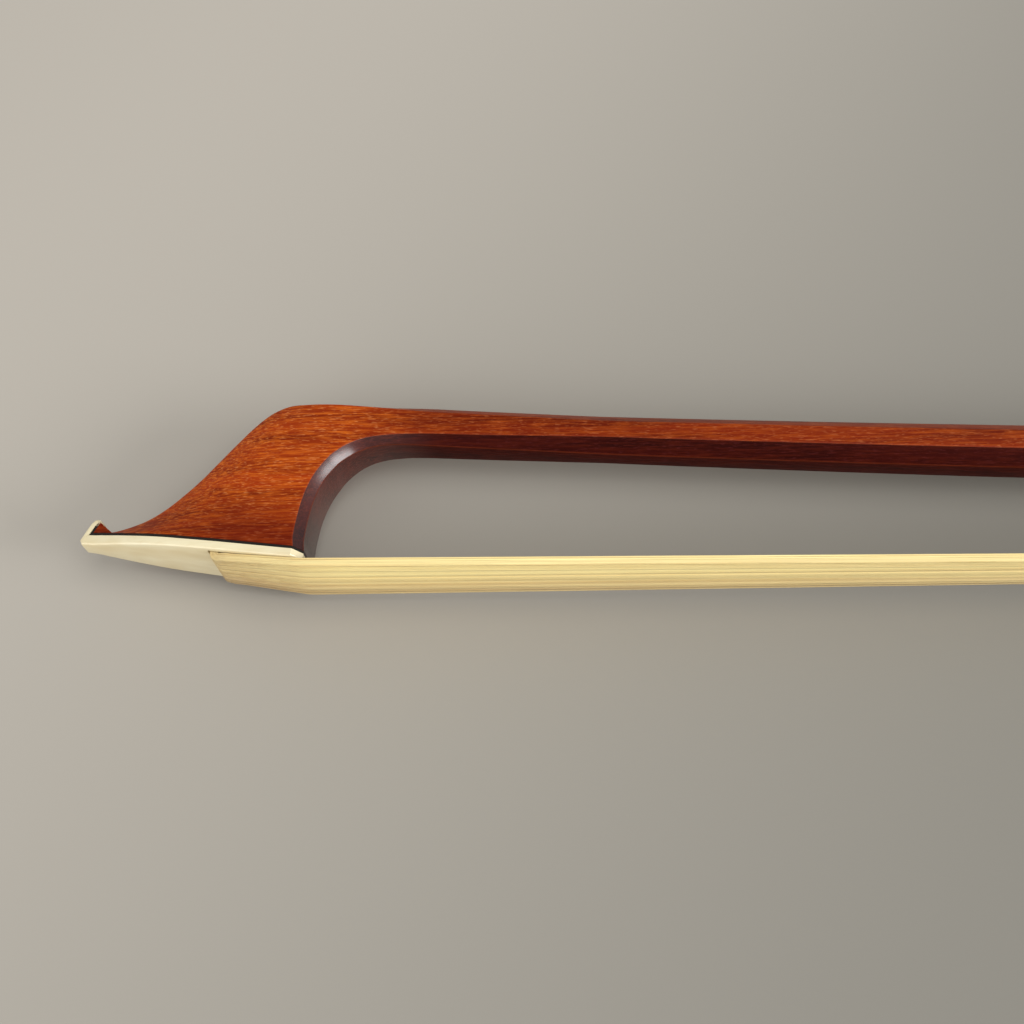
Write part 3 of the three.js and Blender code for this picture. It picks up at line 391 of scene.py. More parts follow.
# The wood rises to a small crest behind the beak
CREST_LENGTH = 1.7
CREST_HALF_WIDTH = 1.5
CREST_BACK = [(0.07, 0.222), (0.14, 0.218)]
crest_depth = BEAK_THICKNESS + 2 * GLUE_LINE + BEAK_LINER_THICKNESS
crest_foot = meet(beak_point(crest_depth, 0), beak_along, on_plate(0, WOOD_FACE + NOSE_THICKER),
                  plate_along)
crest_side = [crest_foot, crest_foot + beak_along * CREST_LENGTH]
crest_side += [Vector((x * HEAD_LENGTH, y * HEAD_HEIGHT, 0)) for x, y in CREST_BACK]
crest_side.append(on_plate(WOOD_FACE_LENGTH * 0.92, WOOD_FACE + NOSE_THICKER))
stick = finished("bow_stick", bm, None)
cut(stick, lambda bm: skin(bm, [[Vector((p.x, p.y, z)) for p in crest_side]
                                for z in (-CREST_HALF_WIDTH, CREST_HALF_WIDTH)]), "UNION")
cut(stick, tip_mortise)


def smooth(value, low, high):
    share = clamp((value - low) / (high - low))
    return share * share * (3 - 2 * share)


# Where the wood is coloured darker: along the face plate, at the nose and along the stick. The throat
# keeps more polish than the rest of the hair side.
STICK_DARKENING = 0.75
FACE_DARK_HEIGHT = 9.5
darkening = stick.data.attributes.new("darkening", "FLOAT", "POINT")
throat_polish = stick.data.attributes.new("throat_polish", "FLOAT", "POINT")
for vert in stick.data.vertices:
    x = vert.co.x / MM - NOSE_X
    y = vert.co.y / MM - HAIR_FACE_Y
    from_corner = Vector((HEAD_LENGTH - x, y))
    over_face = from_corner.y * math.cos(PLATE_TILT) - from_corner.x * math.sin(PLATE_TILT)
    over_face -= WOOD_FACE
    by_face = 1 - smooth(over_face, 0.5, FACE_DARK_HEIGHT)
    by_face *= 0.3 + 0.7 * smooth(x, 0.3 * HEAD_LENGTH, 0.75 * HEAD_LENGTH)
    by_nose = 1.3 * (1 - smooth(x, 2.5, 6))
    by_stick = STICK_DARKENING * smooth(x, HEAD_LENGTH + 1, STICK_START_X + 3)
    darkening.data[vert.index].value = max(by_face if x < HEAD_LENGTH * 1.25 else 0, by_stick, by_nose)
    throat_polish.data[vert.index].value = 1 - smooth(x, HEAD_LENGTH + 8, HEAD_LENGTH + 18)


def own_place(tree):
    return tree.nodes.new("ShaderNodeTexCoord").outputs["Object"]


def ranged(tree, value, low, high, to_low=0.0, to_high=1.0):
    """A value taken from one range to another and held at its ends."""
    level = tree.nodes.new("ShaderNodeMapRange")
    bounds = {"From Min": low, "From Max": high, "To Min": to_low, "To Max": to_high}
    for bound, number in bounds.items():
        level.inputs[bound].default_value = number
    tree.links.new(value, level.inputs["Value"])
    return level.outputs["Result"]


def noise_over(tree, stretch, scale=1.0, detail=2.0, roughness=0.5):
    """A noise texture over a piece, finer by a factor for each axis."""
    mapping = tree.nodes.new("ShaderNodeMapping")
    mapping.inputs["Scale"].default_value = stretch
    tree.links.new(own_place(tree), mapping.inputs["Vector"])
    noise = tree.nodes.new("ShaderNodeTexNoise")
    for name, number in (("Scale", scale), ("Detail", detail), ("Roughness", roughness)):
        noise.inputs[name].default_value = number
    tree.links.new(mapping.outputs["Vector"], noise.inputs["Vector"])
    return noise


def grain_in(tree, name, bands, streaks, pores):
    """A node group with masks of bands, streaks and pores along X, placed in a material's tree.

    Each of the three is (fineness along each axis, detail, lower and upper threshold)."""
    group = bpy.data.node_groups.new(name, "ShaderNodeTree")
    out = group.nodes.new("NodeGroupOutput")
    masks = {"Bands": bands, "Streaks": streaks, "Pores": pores}
    for mask, (stretch, detail, low, high) in masks.items():
        group.interface.new_socket(mask, in_out="OUTPUT", socket_type="NodeSocketFloat")
        noise = noise_over(group, stretch, 1, detail, 0.6)
        group.links.new(ranged(group, noise.outputs["Fac"], low, high), out.inputs[mask])
    placed = tree.nodes.new("ShaderNodeGroup")
    placed.node_tree = group
    return placed.outputs


def mix_colour(tree, factor, first, second, blend="MIX"):
    """A Mix node for colours; each of its inputs is a plain value or a socket."""
    node = tree.nodes.new("ShaderNodeMix")
    node.data_type = "RGBA"
    node.blend_type = blend
    for socket, value in ((node.inputs[0], factor), (node.inputs[6], first), (node.inputs[7], second)):
        if isinstance(value, bpy.types.NodeSocket):
            tree.links.new(value, socket)
        elif isinstance(value, tuple):
            socket.default_value = (*value, 1)
        else:
            socket.default_value = value
    return node.outputs[2]


def plain_finish(name, colour, roughness, metallic=0.0):
    """A new material, with its tree and its Principled shader."""
    made = bpy.data.materials.new(name)
    made.use_nodes = True
    shader = made.node_tree.nodes["Principled BSDF"]
    shader.inputs["Base Color"].default_value = (*colour, 1)
    shader.inputs["Roughness"].default_value = roughness
    shader.inputs["Metallic"].default_value = metallic
    return made, made.node_tree, shader


def surfaced(tree, shader, colour, height, strength, distance):
    """Gives a material its colour and its fine relief, of a depth in metres."""
    tree.links.new(colour, shader.inputs["Base Color"])
    bump = tree.nodes.new("ShaderNodeBump")
    bump.inputs["Strength"].default_value = strength
    bump.inputs["Distance"].default_value = distance
    tree.links.new(height, bump.inputs["Height"])
    tree.links.new(bump.outputs["Normal"], shader.inputs["Normal"])


PERNAMBUCO = (0.34, 0.037, 0.003)
PERNAMBUCO_DARK = (0.17, 0.014, 0.001)
PERNAMBUCO_LIGHT = (0.68, 0.15, 0.012)
FLECK_AND_GLINT = (0.88, 0.33, 0.10)
DARKER_TINT = (0.40, 0.25, 0.30)
EDGE_WEAR_AND_HIGHLIGHT = (0.36, 0.07, 0.022)
# Painted shade for the facets that face the hair
HAIR_SIDE_PAINTED_SHADE = (0.18, 0.10, 0.3)
wood, tree, shader = plain_finish("pernambuco", PERNAMBUCO, 0.36)
grain = grain_in(tree, "pernambuco_grain", ((22, 380, 380), 3, 0.34, 0.60),
                 ((240, 3600, 3600), 4, 0.44, 0.70), ((1000, 6400, 6400), 1, 0.58, 0.70))
banded = mix_colour(tree, grain["Bands"], PERNAMBUCO_DARK, PERNAMBUCO)
streaked = mix_colour(tree, grain["Streaks"], banded, PERNAMBUCO_LIGHT)
half_streaked = mix_colour(tree, 0.72, banded, streaked)
# Light flecks of the grain painted whitish: partly the wood's own flecks, partly painted glints
flecked = mix_colour(tree, grain["Pores"], half_streaked, FLECK_AND_GLINT)
half_flecked = mix_colour(tree, 0.36, half_streaked, flecked)


def painted_mask(tree, name):
    mask = tree.nodes.new("ShaderNodeAttribute")
    mask.attribute_name = name
    return mask.outputs["Fac"]


hair_side_mask = painted_mask(tree, "hair_side_shade_and_polish")
# Coloured darker along the face plate, at the nose and along the stick, by the darkening mask
toning = mix_colour(tree, painted_mask(tree, "darkening"), half_flecked, DARKER_TINT, "MULTIPLY")
# Painted shade: the facets that face the hair are multiplied darker
hair_side_painted_shade = mix_colour(tree, 1.0, toning, HAIR_SIDE_PAINTED_SHADE, "MULTIPLY")
shaded = mix_colour(tree, hair_side_mask, toning, hair_side_painted_shade)
# The ridge bevel is painted lighter as a highlight, and the arrises lighter as wear
worn_and_highlit = mix_colour(tree, painted_mask(tree, "arris"), shaded, EDGE_WEAR_AND_HIGHLIGHT)
surfaced(tree, shader, worn_and_highlit, grain["Streaks"], 0.3, 0.00005)
shader.inputs["Specular IOR Level"].default_value = 0.07
shader.inputs["Coat Roughness"].default_value = 0.25
polish = tree.nodes.new("ShaderNodeMath")
polish.operation = "MULTIPLY"
tree.links.new(hair_side_mask, polish.inputs[0])
tree.links.new(painted_mask(tree, "throat_polish"), polish.inputs[1])
tree.links.new(polish.outputs["Value"], shader.inputs["Coat Weight"])
stick.data.materials[0] = wood
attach(stick, "stick")
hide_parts("stick")


# Face plate and its liner
# A strip of white bone with an upturned beak, glued over a thin leaf of ebony onto the head's face.
# Both are pierced for the hair, and their edges are filed flush with the head.
def face_half(s):
    """Half width of the head's face, s along it from the back corner."""
    if s >= WOOD_FACE_LENGTH:
        share = clamp((s - WOOD_FACE_LENGTH) / (PLATE_LENGTH + NOSE_RISE - WOOD_FACE_LENGTH))
        foot = HEAD_HALF_WIDTH * NOSE_FLAT_SHARE
        return foot + (NOSE_HALF_WIDTH - foot) * share
    if s <= THROAT_CHAMFER:
        return HEAD_HALF_WIDTH - THROAT_CHAMFER + s
    rounded = read_smooth(FRONT_SHARES, (WOOD_FACE_LENGTH - s) / HEAD_LENGTH)
    start = WOOD_FACE_LENGTH - RIDGE_CHAMFER
    if s > start:
        edge = read_smooth(FRONT_SHARES, RIDGE_CHAMFER / HEAD_LENGTH) * HEAD_HALF_WIDTH
        return edge + (HEAD_HALF_WIDTH * NOSE_FLAT_SHARE - edge) * (s - start) / RIDGE_CHAMFER
    return HEAD_HALF_WIDTH * rounded


def face_layer(name, material, near, far, beak_near, beak_far, beak_length, tip_width, rounding=0):
    """A bent strip of even thickness along the face and up the beak, pierced for the hair."""
    bm = bmesh.new()
    spacing = 0.93
    places = [0, THROAT_CHAMFER] + [THROAT_CHAMFER + i * spacing for i in range(1, 30)]
    places = [s for s in places if s < WOOD_FACE_LENGTH - RIDGE_CHAMFER]
    places += [WOOD_FACE_LENGTH - RIDGE_CHAMFER, WOOD_FACE_LENGTH]
    steps = [(on_plate(s, near + nose_lift(s) if near else 0), on_plate(s, far + nose_lift(s)),
              face_half(s)) for s in places]
    corner = meet(beak_point(beak_far, 0), beak_along, on_plate(0, far + NOSE_THICKER), plate_along)
    nose = on_plate(PLATE_LENGTH, near) if near == 0 else meet(
        beak_point(beak_near, 0), beak_along, on_plate(0, near + NOSE_THICKER), plate_along)
    steps.append((nose, corner, NOSE_HALF_WIDTH + 0.1))
    if near == 0:
        lift = (corner - beak_point(beak_far, 0)).dot(beak_along)
        steps.append((beak_point(beak_near, 0), beak_point(beak_far, lift + 0.35), NOSE_HALF_WIDTH))
    for share, width in tip_width:
        steps.append((beak_point(beak_near, beak_length * share),
                      beak_point(beak_far, beak_length * share), width))
    rows = skin(bm, [crosswise(*step) for step in steps])
    if rounding:
        edges = [bm.edges.get((a[k], b[k])) for a, b in zip(rows, rows[1:]) for k in (0, 3)]
        bevelled(bm, edges, rounding, 4)
    made = finished(name, bm, material)
    cut(made, tip_mortise)
    return made


BONE = (0.79, 0.70, 0.47)
BONE_YELLOWED = (0.69, 0.57, 0.33)
bone, tree, shader = plain_finish("bone", BONE, 0.32)
growth = grain_in(tree, "bone_grain", ((90, 260, 260), 2, 0.40, 0.66),
                  ((350, 2600, 2600), 2, 0.46, 0.72), ((1200, 5200, 5200), 1, 0.62, 0.72))
yellowed = mix_colour(tree, growth["Bands"], BONE, BONE_YELLOWED)
fibrous = mix_colour(tree, growth["Streaks"], yellowed, BONE_YELLOWED)
surfaced(tree, shader, mix_colour(tree, 0.4, yellowed, fibrous), growth["Pores"], 0.15, -0.00003)
shader.inputs["Coat Weight"].default_value = 0.3
shader.inputs["Coat Roughness"].default_value = 0.15
plate = face_layer("face_plate", bone, 0, PLATE_THICKNESS, 0, BEAK_THICKNESS, BEAK_LENGTH,
                   [(0.45, 1.5), (0.75, 1.5), (0.95, 1.3), (1.05, 0.9)], 0.34)
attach(plate, "stick")
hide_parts("tip_plate")

EBONY = (0.008, 0.006, 0.005)
EBONY_BROWN = (0.018, 0.011, 0.007)
ebony, tree, shader = plain_finish("ebony", EBONY, 0.3)
figure = grain_in(tree, "ebony_grain", ((40, 500, 500), 3, 0.40, 0.72),
                  ((250, 4200, 4200), 3, 0.46, 0.72), ((800, 7000, 7000), 1, 0.62, 0.7))
brown = mix_colour(tree, figure["Bands"], EBONY, EBONY_BROWN)
pored = mix_colour(tree, figure["Pores"], brown, EBONY)
surfaced(tree, shader, pored, figure["Streaks"], 0.2, 0.00003)
shader.inputs["Specular IOR Level"].default_value = 0.25
liner_near = PLATE_THICKNESS + GLUE_LINE
beak_liner_near = BEAK_THICKNESS + GLUE_LINE
liner = face_layer("face_liner", ebony, liner_near, liner_near + LINER_THICKNESS, beak_liner_near,
                   beak_liner_near + BEAK_LINER_THICKNESS, BEAK_LINER_LENGTH,
                   [(0.6, 1.45), (1.0, 1.45)])
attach(liner, "stick")
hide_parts("tip_liner")


# Hair
# About two hundred bleached horse hairs, combed into a flat ribbon. Each end is tied with thread,
# singed, and wedged into a mortise, so the hank turns over the plug at the head and at the frog.
HAIR_THICKNESS = 1.15
HAIR_HALF_AT_HEAD = 5.0
HAIR_HALF_BEHIND_HEAD = 3.95
HAIR_NARROW_X = HEAD_LENGTH + 96
HAIR_HALF_AT_FROG = 6.0
FROG_FRONT_X = 639
TIP_HAIR_END = 9.9
FROG_HAIR_END = 27.64
hair_random = random.Random(7)

# The middle of the hank and its half width, from the end in the head to the end in the frog
on_face = -GLUE_LINE - HAIR_THICKNESS / 2
in_head = [(TIP_HAIR_END, 6.725, 2.85), (11.675, 6.725, 2.9), (11.675, on_face, 3.75),
           (9.6, on_face, 4.05), (0.05, on_face, HAIR_HALF_AT_HEAD)]
behind_ferrule = [(7.3, -HAIR_THICKNESS / 2, 5.8), (12.25, 0.525, 4.9), (19, 0.525, 4.0),
                  (30.175, 0.525, 4.0), (30.175, 6.175, 4.0), (FROG_HAIR_END, 6.175, 2.6)]
hair_path = [(*on_plate(s, t).xy, half) for s, t, half in in_head]
hair_path += [(HAIR_NARROW_X, -HAIR_THICKNESS / 2, HAIR_HALF_BEHIND_HEAD),
              (FROG_FRONT_X, -HAIR_THICKNESS / 2, HAIR_HALF_AT_FROG)]
hair_path += [(FROG_FRONT_X + x, y, half) for x, y, half in behind_ferrule]


def hair_stations(path, corner=0.72, turn_steps=6, spacing=7.0):
    """Places along the path with its corners rounded: point, direction through it, half width."""
    points = [Vector((x, y)) for x, y, half in path]
    halves = [half for x, y, half in path]
    spots = [(points[0], halves[0])]
    for i in range(1, len(points) - 1):
        before = points[i] - points[i - 1]
        after = points[i + 1] - points[i]
        reach = min(corner, before.length * 0.45, after.length * 0.45)
        bend = before.angle(after)
        start = points[i] - before.normalized() * reach
        end = points[i] + after.normalized() * reach
        steps = turn_steps if bend > 0.8 else 3
        spots.append((start, halves[i]))
        for step in range(1, steps):
            u = step / steps
            spots.append((start * (1 - u) ** 2 + points[i] * 2 * u * (1 - u) + end * u * u, halves[i]))
        spots.append((end, halves[i]))
    spots.append((points[-1], halves[-1]))
    fine = []
    for (a, half_a), (b, half_b) in zip(spots, spots[1:]):
        count = max(1, round((b - a).length / spacing))
        fine += [(a.lerp(b, k / count), half_a + (half_b - half_a) * k / count) for k in range(count)]
    fine.append(spots[-1])
    placed = []
    for i, (point, half) in enumerate(fine):
        ahead = fine[min(i + 1, len(fine) - 1)][0] - fine[max(i - 1, 0)][0]
        ahead.normalize()
        placed.append((point, Vector((-ahead.y, ahead.x)), half))
    return placed


stations = hair_stations(hair_path)
HAIR_COLUMNS = 56


def drifting(levels, count, wander):
    """A slow random walk along the hair for each of its bundles."""
    walks = []
    for _ in range(count):
        value = hair_random.uniform(-1, 1)
        walk = []
        for _ in range(levels):
            value = clamp(value + hair_random.uniform(-wander, wander), -1, 1)
            walk.append(value)
        walks.append(walk)
    return walks


GROOVE_DEPTH = 0.075
bm = bmesh.new()
lower = drifting(len(stations), HAIR_COLUMNS, 0.09)
upper = drifting(len(stations), HAIR_COLUMNS, 0.09)
rings = []
for k, (point, through, half) in enumerate(stations):
    ring = []
    for walks, side in ((lower, -1), (upper, 1)):
        for i in range(HAIR_COLUMNS)[::-side]:
            z = half * (2 * i / (HAIR_COLUMNS - 1) - 1)
            edge = 1 - 0.25 * abs(z / half) ** 12
            depth = HAIR_THICKNESS / 2 * edge - GROOVE_DEPTH * (walks[i][k] + 1)
            ring.append(Vector((*(point + through * depth * side), z)))
    rings.append(ring)
skin(bm, rings)


def rod_ring(centre, outward, along, radius, sides):
    angles = [math.pi * 2 * j / sides for j in range(sides)]
    return [centre + (outward * math.cos(a) + along * math.sin(a)) * radius for a in angles]


# Single hairs lie over the hank and cross it slowly
STRAND_RADIUS = 0.09
STRANDS = 110
for _ in range(STRANDS):
    place = hair_random.uniform(-0.97, 0.97)
    face = hair_random.choice((-1, -1, 1, 1, 0))
    if face == 0:
        place = hair_random.choice((-1, 1)) * 0.985
    level = hair_random.uniform(-0.8, 0.8)
    walk = drifting(len(stations), 2, 0.035)
    strand_rings = []
    for k, (point, through, half) in enumerate(stations):
        z = half * clamp(place + 0.1 * walk[0][k], -0.99, 0.99)
        depth = HAIR_THICKNESS / 2 - STRAND_RADIUS
        reach = depth * (face if face else clamp(level + 0.3 * walk[1][k], -0.9, 0.9))
        strand_rings.append(rod_ring(Vector((*(point + through * reach), z)), through.to_3d(),
                                     Vector((0, 0, 1)), STRAND_RADIUS, 5))
    skin(bm, strand_rings)

HAIR_LIGHT = (0.93, 0.78, 0.36)
HAIR_DARK = (0.78, 0.58, 0.25)
HAIR_SHADE = (0.71, 0.66, 0.68)
hair, tree, shader = plain_finish("horse_hair", HAIR_LIGHT, 0.42)
strands = grain_in(tree, "hair_strands", ((4, 900, 900), 2, 0.36, 0.64),
                   ((9, 5200, 5200), 2, 0.36, 0.62), ((60, 9000, 9000), 1, 0.6, 0.75))
bundled = mix_colour(tree, strands["Bands"], HAIR_DARK, HAIR_LIGHT)
single = mix_colour(tree, strands["Streaks"], HAIR_DARK, HAIR_LIGHT)
shade = mix_colour(tree, 0.5, bundled, single)
axes = tree.nodes.new("ShaderNodeSeparateXYZ")
tree.links.new(own_place(tree), axes.inputs["Vector"])
# Painted shade: the hair is multiplied darker towards the floor side and towards the head
for axis, light, dark in (("Z", 0.0078, 0.0038), ("X", -0.322, -0.34)):
    toned = mix_colour(tree, 1.0, shade, HAIR_SHADE, "MULTIPLY")
    shade = mix_colour(tree, ranged(tree, axes.outputs[axis], light, dark), shade, toned)
surfaced(tree, shader, shade, strands["Streaks"], 0.4, 0.00008)
bow_hair = finished("bow_hair", bm, hair, 60)
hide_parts("tip_hair", "hair_ribbon", "frog_hair")
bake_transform(bow_hair)


# Wire winding
# Fine silver wire, wound turn beside turn round the octagonal stick in front of the leather. It
# gives the hand a hold and weighs the bow towards the frog. Its ends are soldered and tucked in.
WINDING_START_X = 524
LEATHER_START_X = 594
WIRE_DIAMETER = 0.35
WIRE_TURNS = 200


def wrapped_point(apothem, rounding, corner, turn):
    """A point on an octagon with round corners, turn of the way round one of its corners."""
    middle = math.pi / 8 + corner * math.pi / 4
    reach = (apothem - rounding) / math.cos(math.pi / 8)
    angle = (corner + turn) * math.pi / 4
    return (Vector((reach * math.cos(middle) + rounding * math.cos(angle),
                    reach * math.sin(middle) + rounding * math.sin(angle))), angle)


bm = bmesh.new()
rings = []
for step in range(WIRE_TURNS * 16):
    x = WINDING_START_X + WIRE_DIAMETER * (step / 16 + 0.5)
    x = min(x, LEATHER_START_X - WIRE_DIAMETER / 2)
    spot, angle = wrapped_point(flats_at(x) / 2 + WIRE_DIAMETER / 2, 0.45, step // 2 % 8, step % 2)
    rings.append(rod_ring(Vector((x, axis_y(x) + spot.x, spot.y)),
                          Vector((0, math.cos(angle), math.sin(angle))), Vector((1, 0, 0)),
                          WIRE_DIAMETER * 0.49, 6))
skin(bm, rings)


# Wear that the metals and the leather share: slow clouds and fine scratches
patina = bpy.data.node_groups.new("patina", "ShaderNodeTree")
patina.interface.new_socket("Size", in_out="INPUT", socket_type="NodeSocketFloat")
patina_size = patina.nodes.new("NodeGroupInput").outputs["Size"]
patina_out = patina.nodes.new("NodeGroupOutput")
for mask, stretch, low, high in (("Clouds", (1, 1, 1), 0.42, 0.66),
                                 ("Scratches", (1, 9, 9), 0.56, 0.68)):
    patina.interface.new_socket(mask, in_out="OUTPUT", socket_type="NodeSocketFloat")
    noise = noise_over(patina, stretch, detail=4)
    patina.links.new(patina_size, noise.inputs["Scale"])
    patina.links.new(ranged(patina, noise.outputs["Fac"], low, high), patina_out.inputs[mask])


def patina_in(tree, size):
    placed = tree.nodes.new("ShaderNodeGroup")
    placed.node_tree = patina
    placed.inputs["Size"].default_value = size
    return placed.outputs


def metal(name, colour, tarnish, roughness, size):
    """A metal whose colour dulls in clouds and whose polish is rubbed with fine scratches."""
    made, tree, shader = plain_finish(name, colour, roughness, 1.0)
    toning = patina_in(tree, size)
    toned = mix_colour(tree, toning["Clouds"], colour, tarnish)
    surfaced(tree, shader, toned, toning["Scratches"], 0.25, 0.00002)
    rubbed = ranged(tree, toning["Clouds"], 0, 1, roughness, roughness + 0.22)
    tree.links.new(rubbed, shader.inputs["Roughness"])
    return made


silver = metal("silver", (0.86, 0.85, 0.82), (0.62, 0.58, 0.50), 0.2, 260)
winding = finished("silver_winding", bm, silver, 70)
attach(winding, "stick")
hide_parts("wire_winding")


# Leather grip
# A strip of dark goatskin, pared thin at its ends and glued round the stick in front of the frog,
# with a lapped seam on the hair side. It keeps the thumb off the wood.
LEATHER_END_X = 633.5
LEATHER_THICKNESS = 1
PARED_EDGE = 1.6
SEAM_CORNER = 4
SEAM_STEP = 0.22
leather_steps = 90
bm = bmesh.new()
rings = []
for i in range(leather_steps + 1):
    x = LEATHER_START_X + (LEATHER_END_X - LEATHER_START_X) * i / leather_steps
    from_end = min(x - LEATHER_START_X, LEATHER_END_X - x)
    pared = 1 - clamp(from_end / PARED_EDGE)
    thickness = LEATHER_THICKNESS - SEAM_STEP - 0.5 * pared ** 3
    ring = []
    for corner in range(8):
        for turn in (0, 0.2, 0.4, 0.6, 0.8, 1):
            past_seam = clamp((corner + turn - SEAM_CORNER - 0.5) * 1.3)
            lap = SEAM_STEP * (1 - past_seam) if corner + turn > SEAM_CORNER + 0.5 else 0
            spot, angle = wrapped_point(flats_at(x) / 2 + thickness + lap, 1.9, corner, turn)
            ring.append(Vector((x, axis_y(x) + spot.x, spot.y)))
    rings.append(ring)
skin(bm, rings)
LEATHER = (0.036, 0.019, 0.013)
LEATHER_WORN = (0.08, 0.043, 0.028)
leather, tree, shader = plain_finish("goatskin", LEATHER, 0.5)
voronoi = tree.nodes.new("ShaderNodeTexVoronoi")
voronoi.feature = "SMOOTH_F1"
voronoi.inputs["Scale"].default_value = 1500
tree.links.new(own_place(tree), voronoi.inputs["Vector"])
pebbles = voronoi.outputs["Distance"]
rubbed = mix_colour(tree, patina_in(tree, 120)["Clouds"], LEATHER, LEATHER_WORN)
surfaced(tree, shader, mix_colour(tree, pebbles, rubbed, LEATHER), pebbles, 0.6, -0.00012)
tree.links.new(ranged(tree, pebbles, 0, 1, 0.42, 0.7), shader.inputs["Roughness"])
grip = finished("leather_grip", bm, leather, 40)
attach(grip, "stick")
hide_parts("thumb_leather")


# Frog body
# Sawn from black ebony and cut with a channel for the stick, a slide way and a mortise for the hair,
# and shallow seats for the eyes. Its D-shaped tongue carries the ferrule, and its edges are softened.
FROG_LENGTH = 51
FROG_BOTTOM_Y = -1.9
FROG_BOTTOM_HALF = 6.8
FROG_TOP_HALF = 5.25
CHEEK_TOP_Y = 20.6
FROG_AXIS_Y = 22.9
FERRULE_LENGTH = 12
FERRULE_TOP_Y = 8.6
FERRULE_SIDE_Y = 2.6
FERRULE_HALF_WIDTH = 7.25
FERRULE_WALL = 0.75
LINER_GAP = 0.6
THROAT_TIP_X = 2
THROAT_EDGE = 0.95
HEEL_PLATE = 0.8
HEEL_FOOT = 9
HEEL_LOW_Y = 7.4
HEEL_HIGH_Y = 9.6
UPPER_PLATE_TOP_Y = 17.2
HEEL_STEP = 2.6
EYE_X = 27
EYE_Y = 9
EYE_RADIUS = 3
EYE_RING_INNER = 4
EYE_RING_OUTER = 4.7
EYE_DEPTH = 0.8


def in_frog(x, y, z=0.0):
    return Vector((FROG_FRONT_X + x, y, z))


def frog_half(y):
    share = (y - FROG_BOTTOM_Y) / (CHEEK_TOP_Y - FROG_BOTTOM_Y)
    return FROG_BOTTOM_HALF + (FROG_TOP_HALF - FROG_BOTTOM_HALF) * share


def across(bm, outline, half_at):
    """A block with a side view in plan and its own half width at every height."""
    skin(bm, [[in_frog(x, y, side * half_at(y)) for x, y in outline] for side in (1, -1)])


def along(bm, outline, start, end):
    """A bar with a (height, side) section between two places along the frog."""
    skin(bm, [[in_frog(x, y, z) for y, z in outline] for x in (start, end)])


def both_sides(outline):
    return outline + [(y, -half) for y, half in reversed(outline)]


def channel_outline(grow, top):
    """The stick's lower facets, grown, up to a height."""
    low = FROG_AXIS_Y - FLATS_AT_HANDLE / 2 - grow
    side = (FLATS_AT_HANDLE / 2 + grow) * HALF_FACET
    wide = (FLATS_AT_HANDLE / 2 + grow) * math.sqrt(2) - (FROG_AXIS_Y - top)
    return both_sides([(top, wide), (low, side)])


def d_outline(inset, bottom):
    half = FERRULE_HALF_WIDTH - inset
    rise = FERRULE_TOP_Y - inset - FERRULE_SIDE_Y
    arc = [(FERRULE_SIDE_Y + rise * math.sin(a), half * math.cos(a))
           for a in (math.pi * i / 24 for i in range(25))]
    return arc + [(bottom, -half), (bottom, half)]


def rod(bm, start, end, radius, sides=32):
    """A round bar between two places on the bow, as a cutter or a pin."""
    axis = end - start
    middle = Matrix.Translation(on_bow(*((start + end) / 2)))
    turned = middle @ axis.to_track_quat("Z", "Y").to_matrix().to_4x4()
    bmesh.ops.create_cone(bm, cap_ends=True, segments=sides, radius1=radius * MM, radius2=radius * MM,
                          depth=axis.length * MM, matrix=turned)


def eye_rod(bm, radius, side, depth=EYE_DEPTH, proud=1.0):
    """A rod square to the slanting side of the frog, sunk into it at the eye."""
    slant = math.atan((FROG_BOTTOM_HALF - FROG_TOP_HALF) / (CHEEK_TOP_Y - FROG_BOTTOM_Y))
    outward = Vector((0, math.sin(slant), side * math.cos(slant)))
    face = in_frog(EYE_X, EYE_Y, side * frog_half(EYE_Y))
    rod(bm, face - outward * depth, face + outward * proud, radius, 48)


body_back = FROG_LENGTH - HEEL_PLATE - GLUE_LINE
upper_back = body_back - HEEL_STEP
shoulder = FERRULE_LENGTH + 0.05
throat_floor = FROG_AXIS_Y - FLATS_AT_HANDLE / 2 - LINER_GAP
throat_low = FERRULE_TOP_Y + 0.2
throat = []
for i in range(25):
    a = math.pi / 2 * (1 - i / 24)
    throat.append((THROAT_TIP_X + (shoulder - THROAT_TIP_X) * math.cos(a),
                   throat_low + (throat_floor - THROAT_EDGE - throat_low) * math.sin(a)))
heel_start = FROG_LENGTH - HEEL_FOOT
heel_floor = FROG_BOTTOM_Y + HEEL_PLATE
side_view = [(shoulder, FROG_BOTTOM_Y), (heel_start, FROG_BOTTOM_Y), (heel_start, heel_floor),
             (body_back, heel_floor), (body_back, HEEL_LOW_Y), (upper_back, HEEL_HIGH_Y),
             (upper_back, CHEEK_TOP_Y), (THROAT_TIP_X, CHEEK_TOP_Y)] + throat
bm = bmesh.new()
across(bm, side_view, frog_half)
ebony_frog = finished("ebony_frog", bm, ebony)
cut(ebony_frog, lambda bm: along(bm, channel_outline(LINER_GAP, CHEEK_TOP_Y + 2), -2, FROG_LENGTH + 2))


def softened(bm, radius, segments=2):
    """Joins the triangles of each flat face and rounds the edges between the faces."""
    bmesh.ops.remove_doubles(bm, verts=bm.verts, dist=0.002 * MM)
    bmesh.ops.dissolve_limit(bm, angle_limit=math.radians(1), verts=bm.verts, edges=bm.edges)
    sharp = math.radians(30)
    edges = [e for e in bm.edges if len(e.link_faces) == 2 and e.calc_face_angle(0) > sharp]
    if radius:
        bevelled(bm, edges, radius, segments)


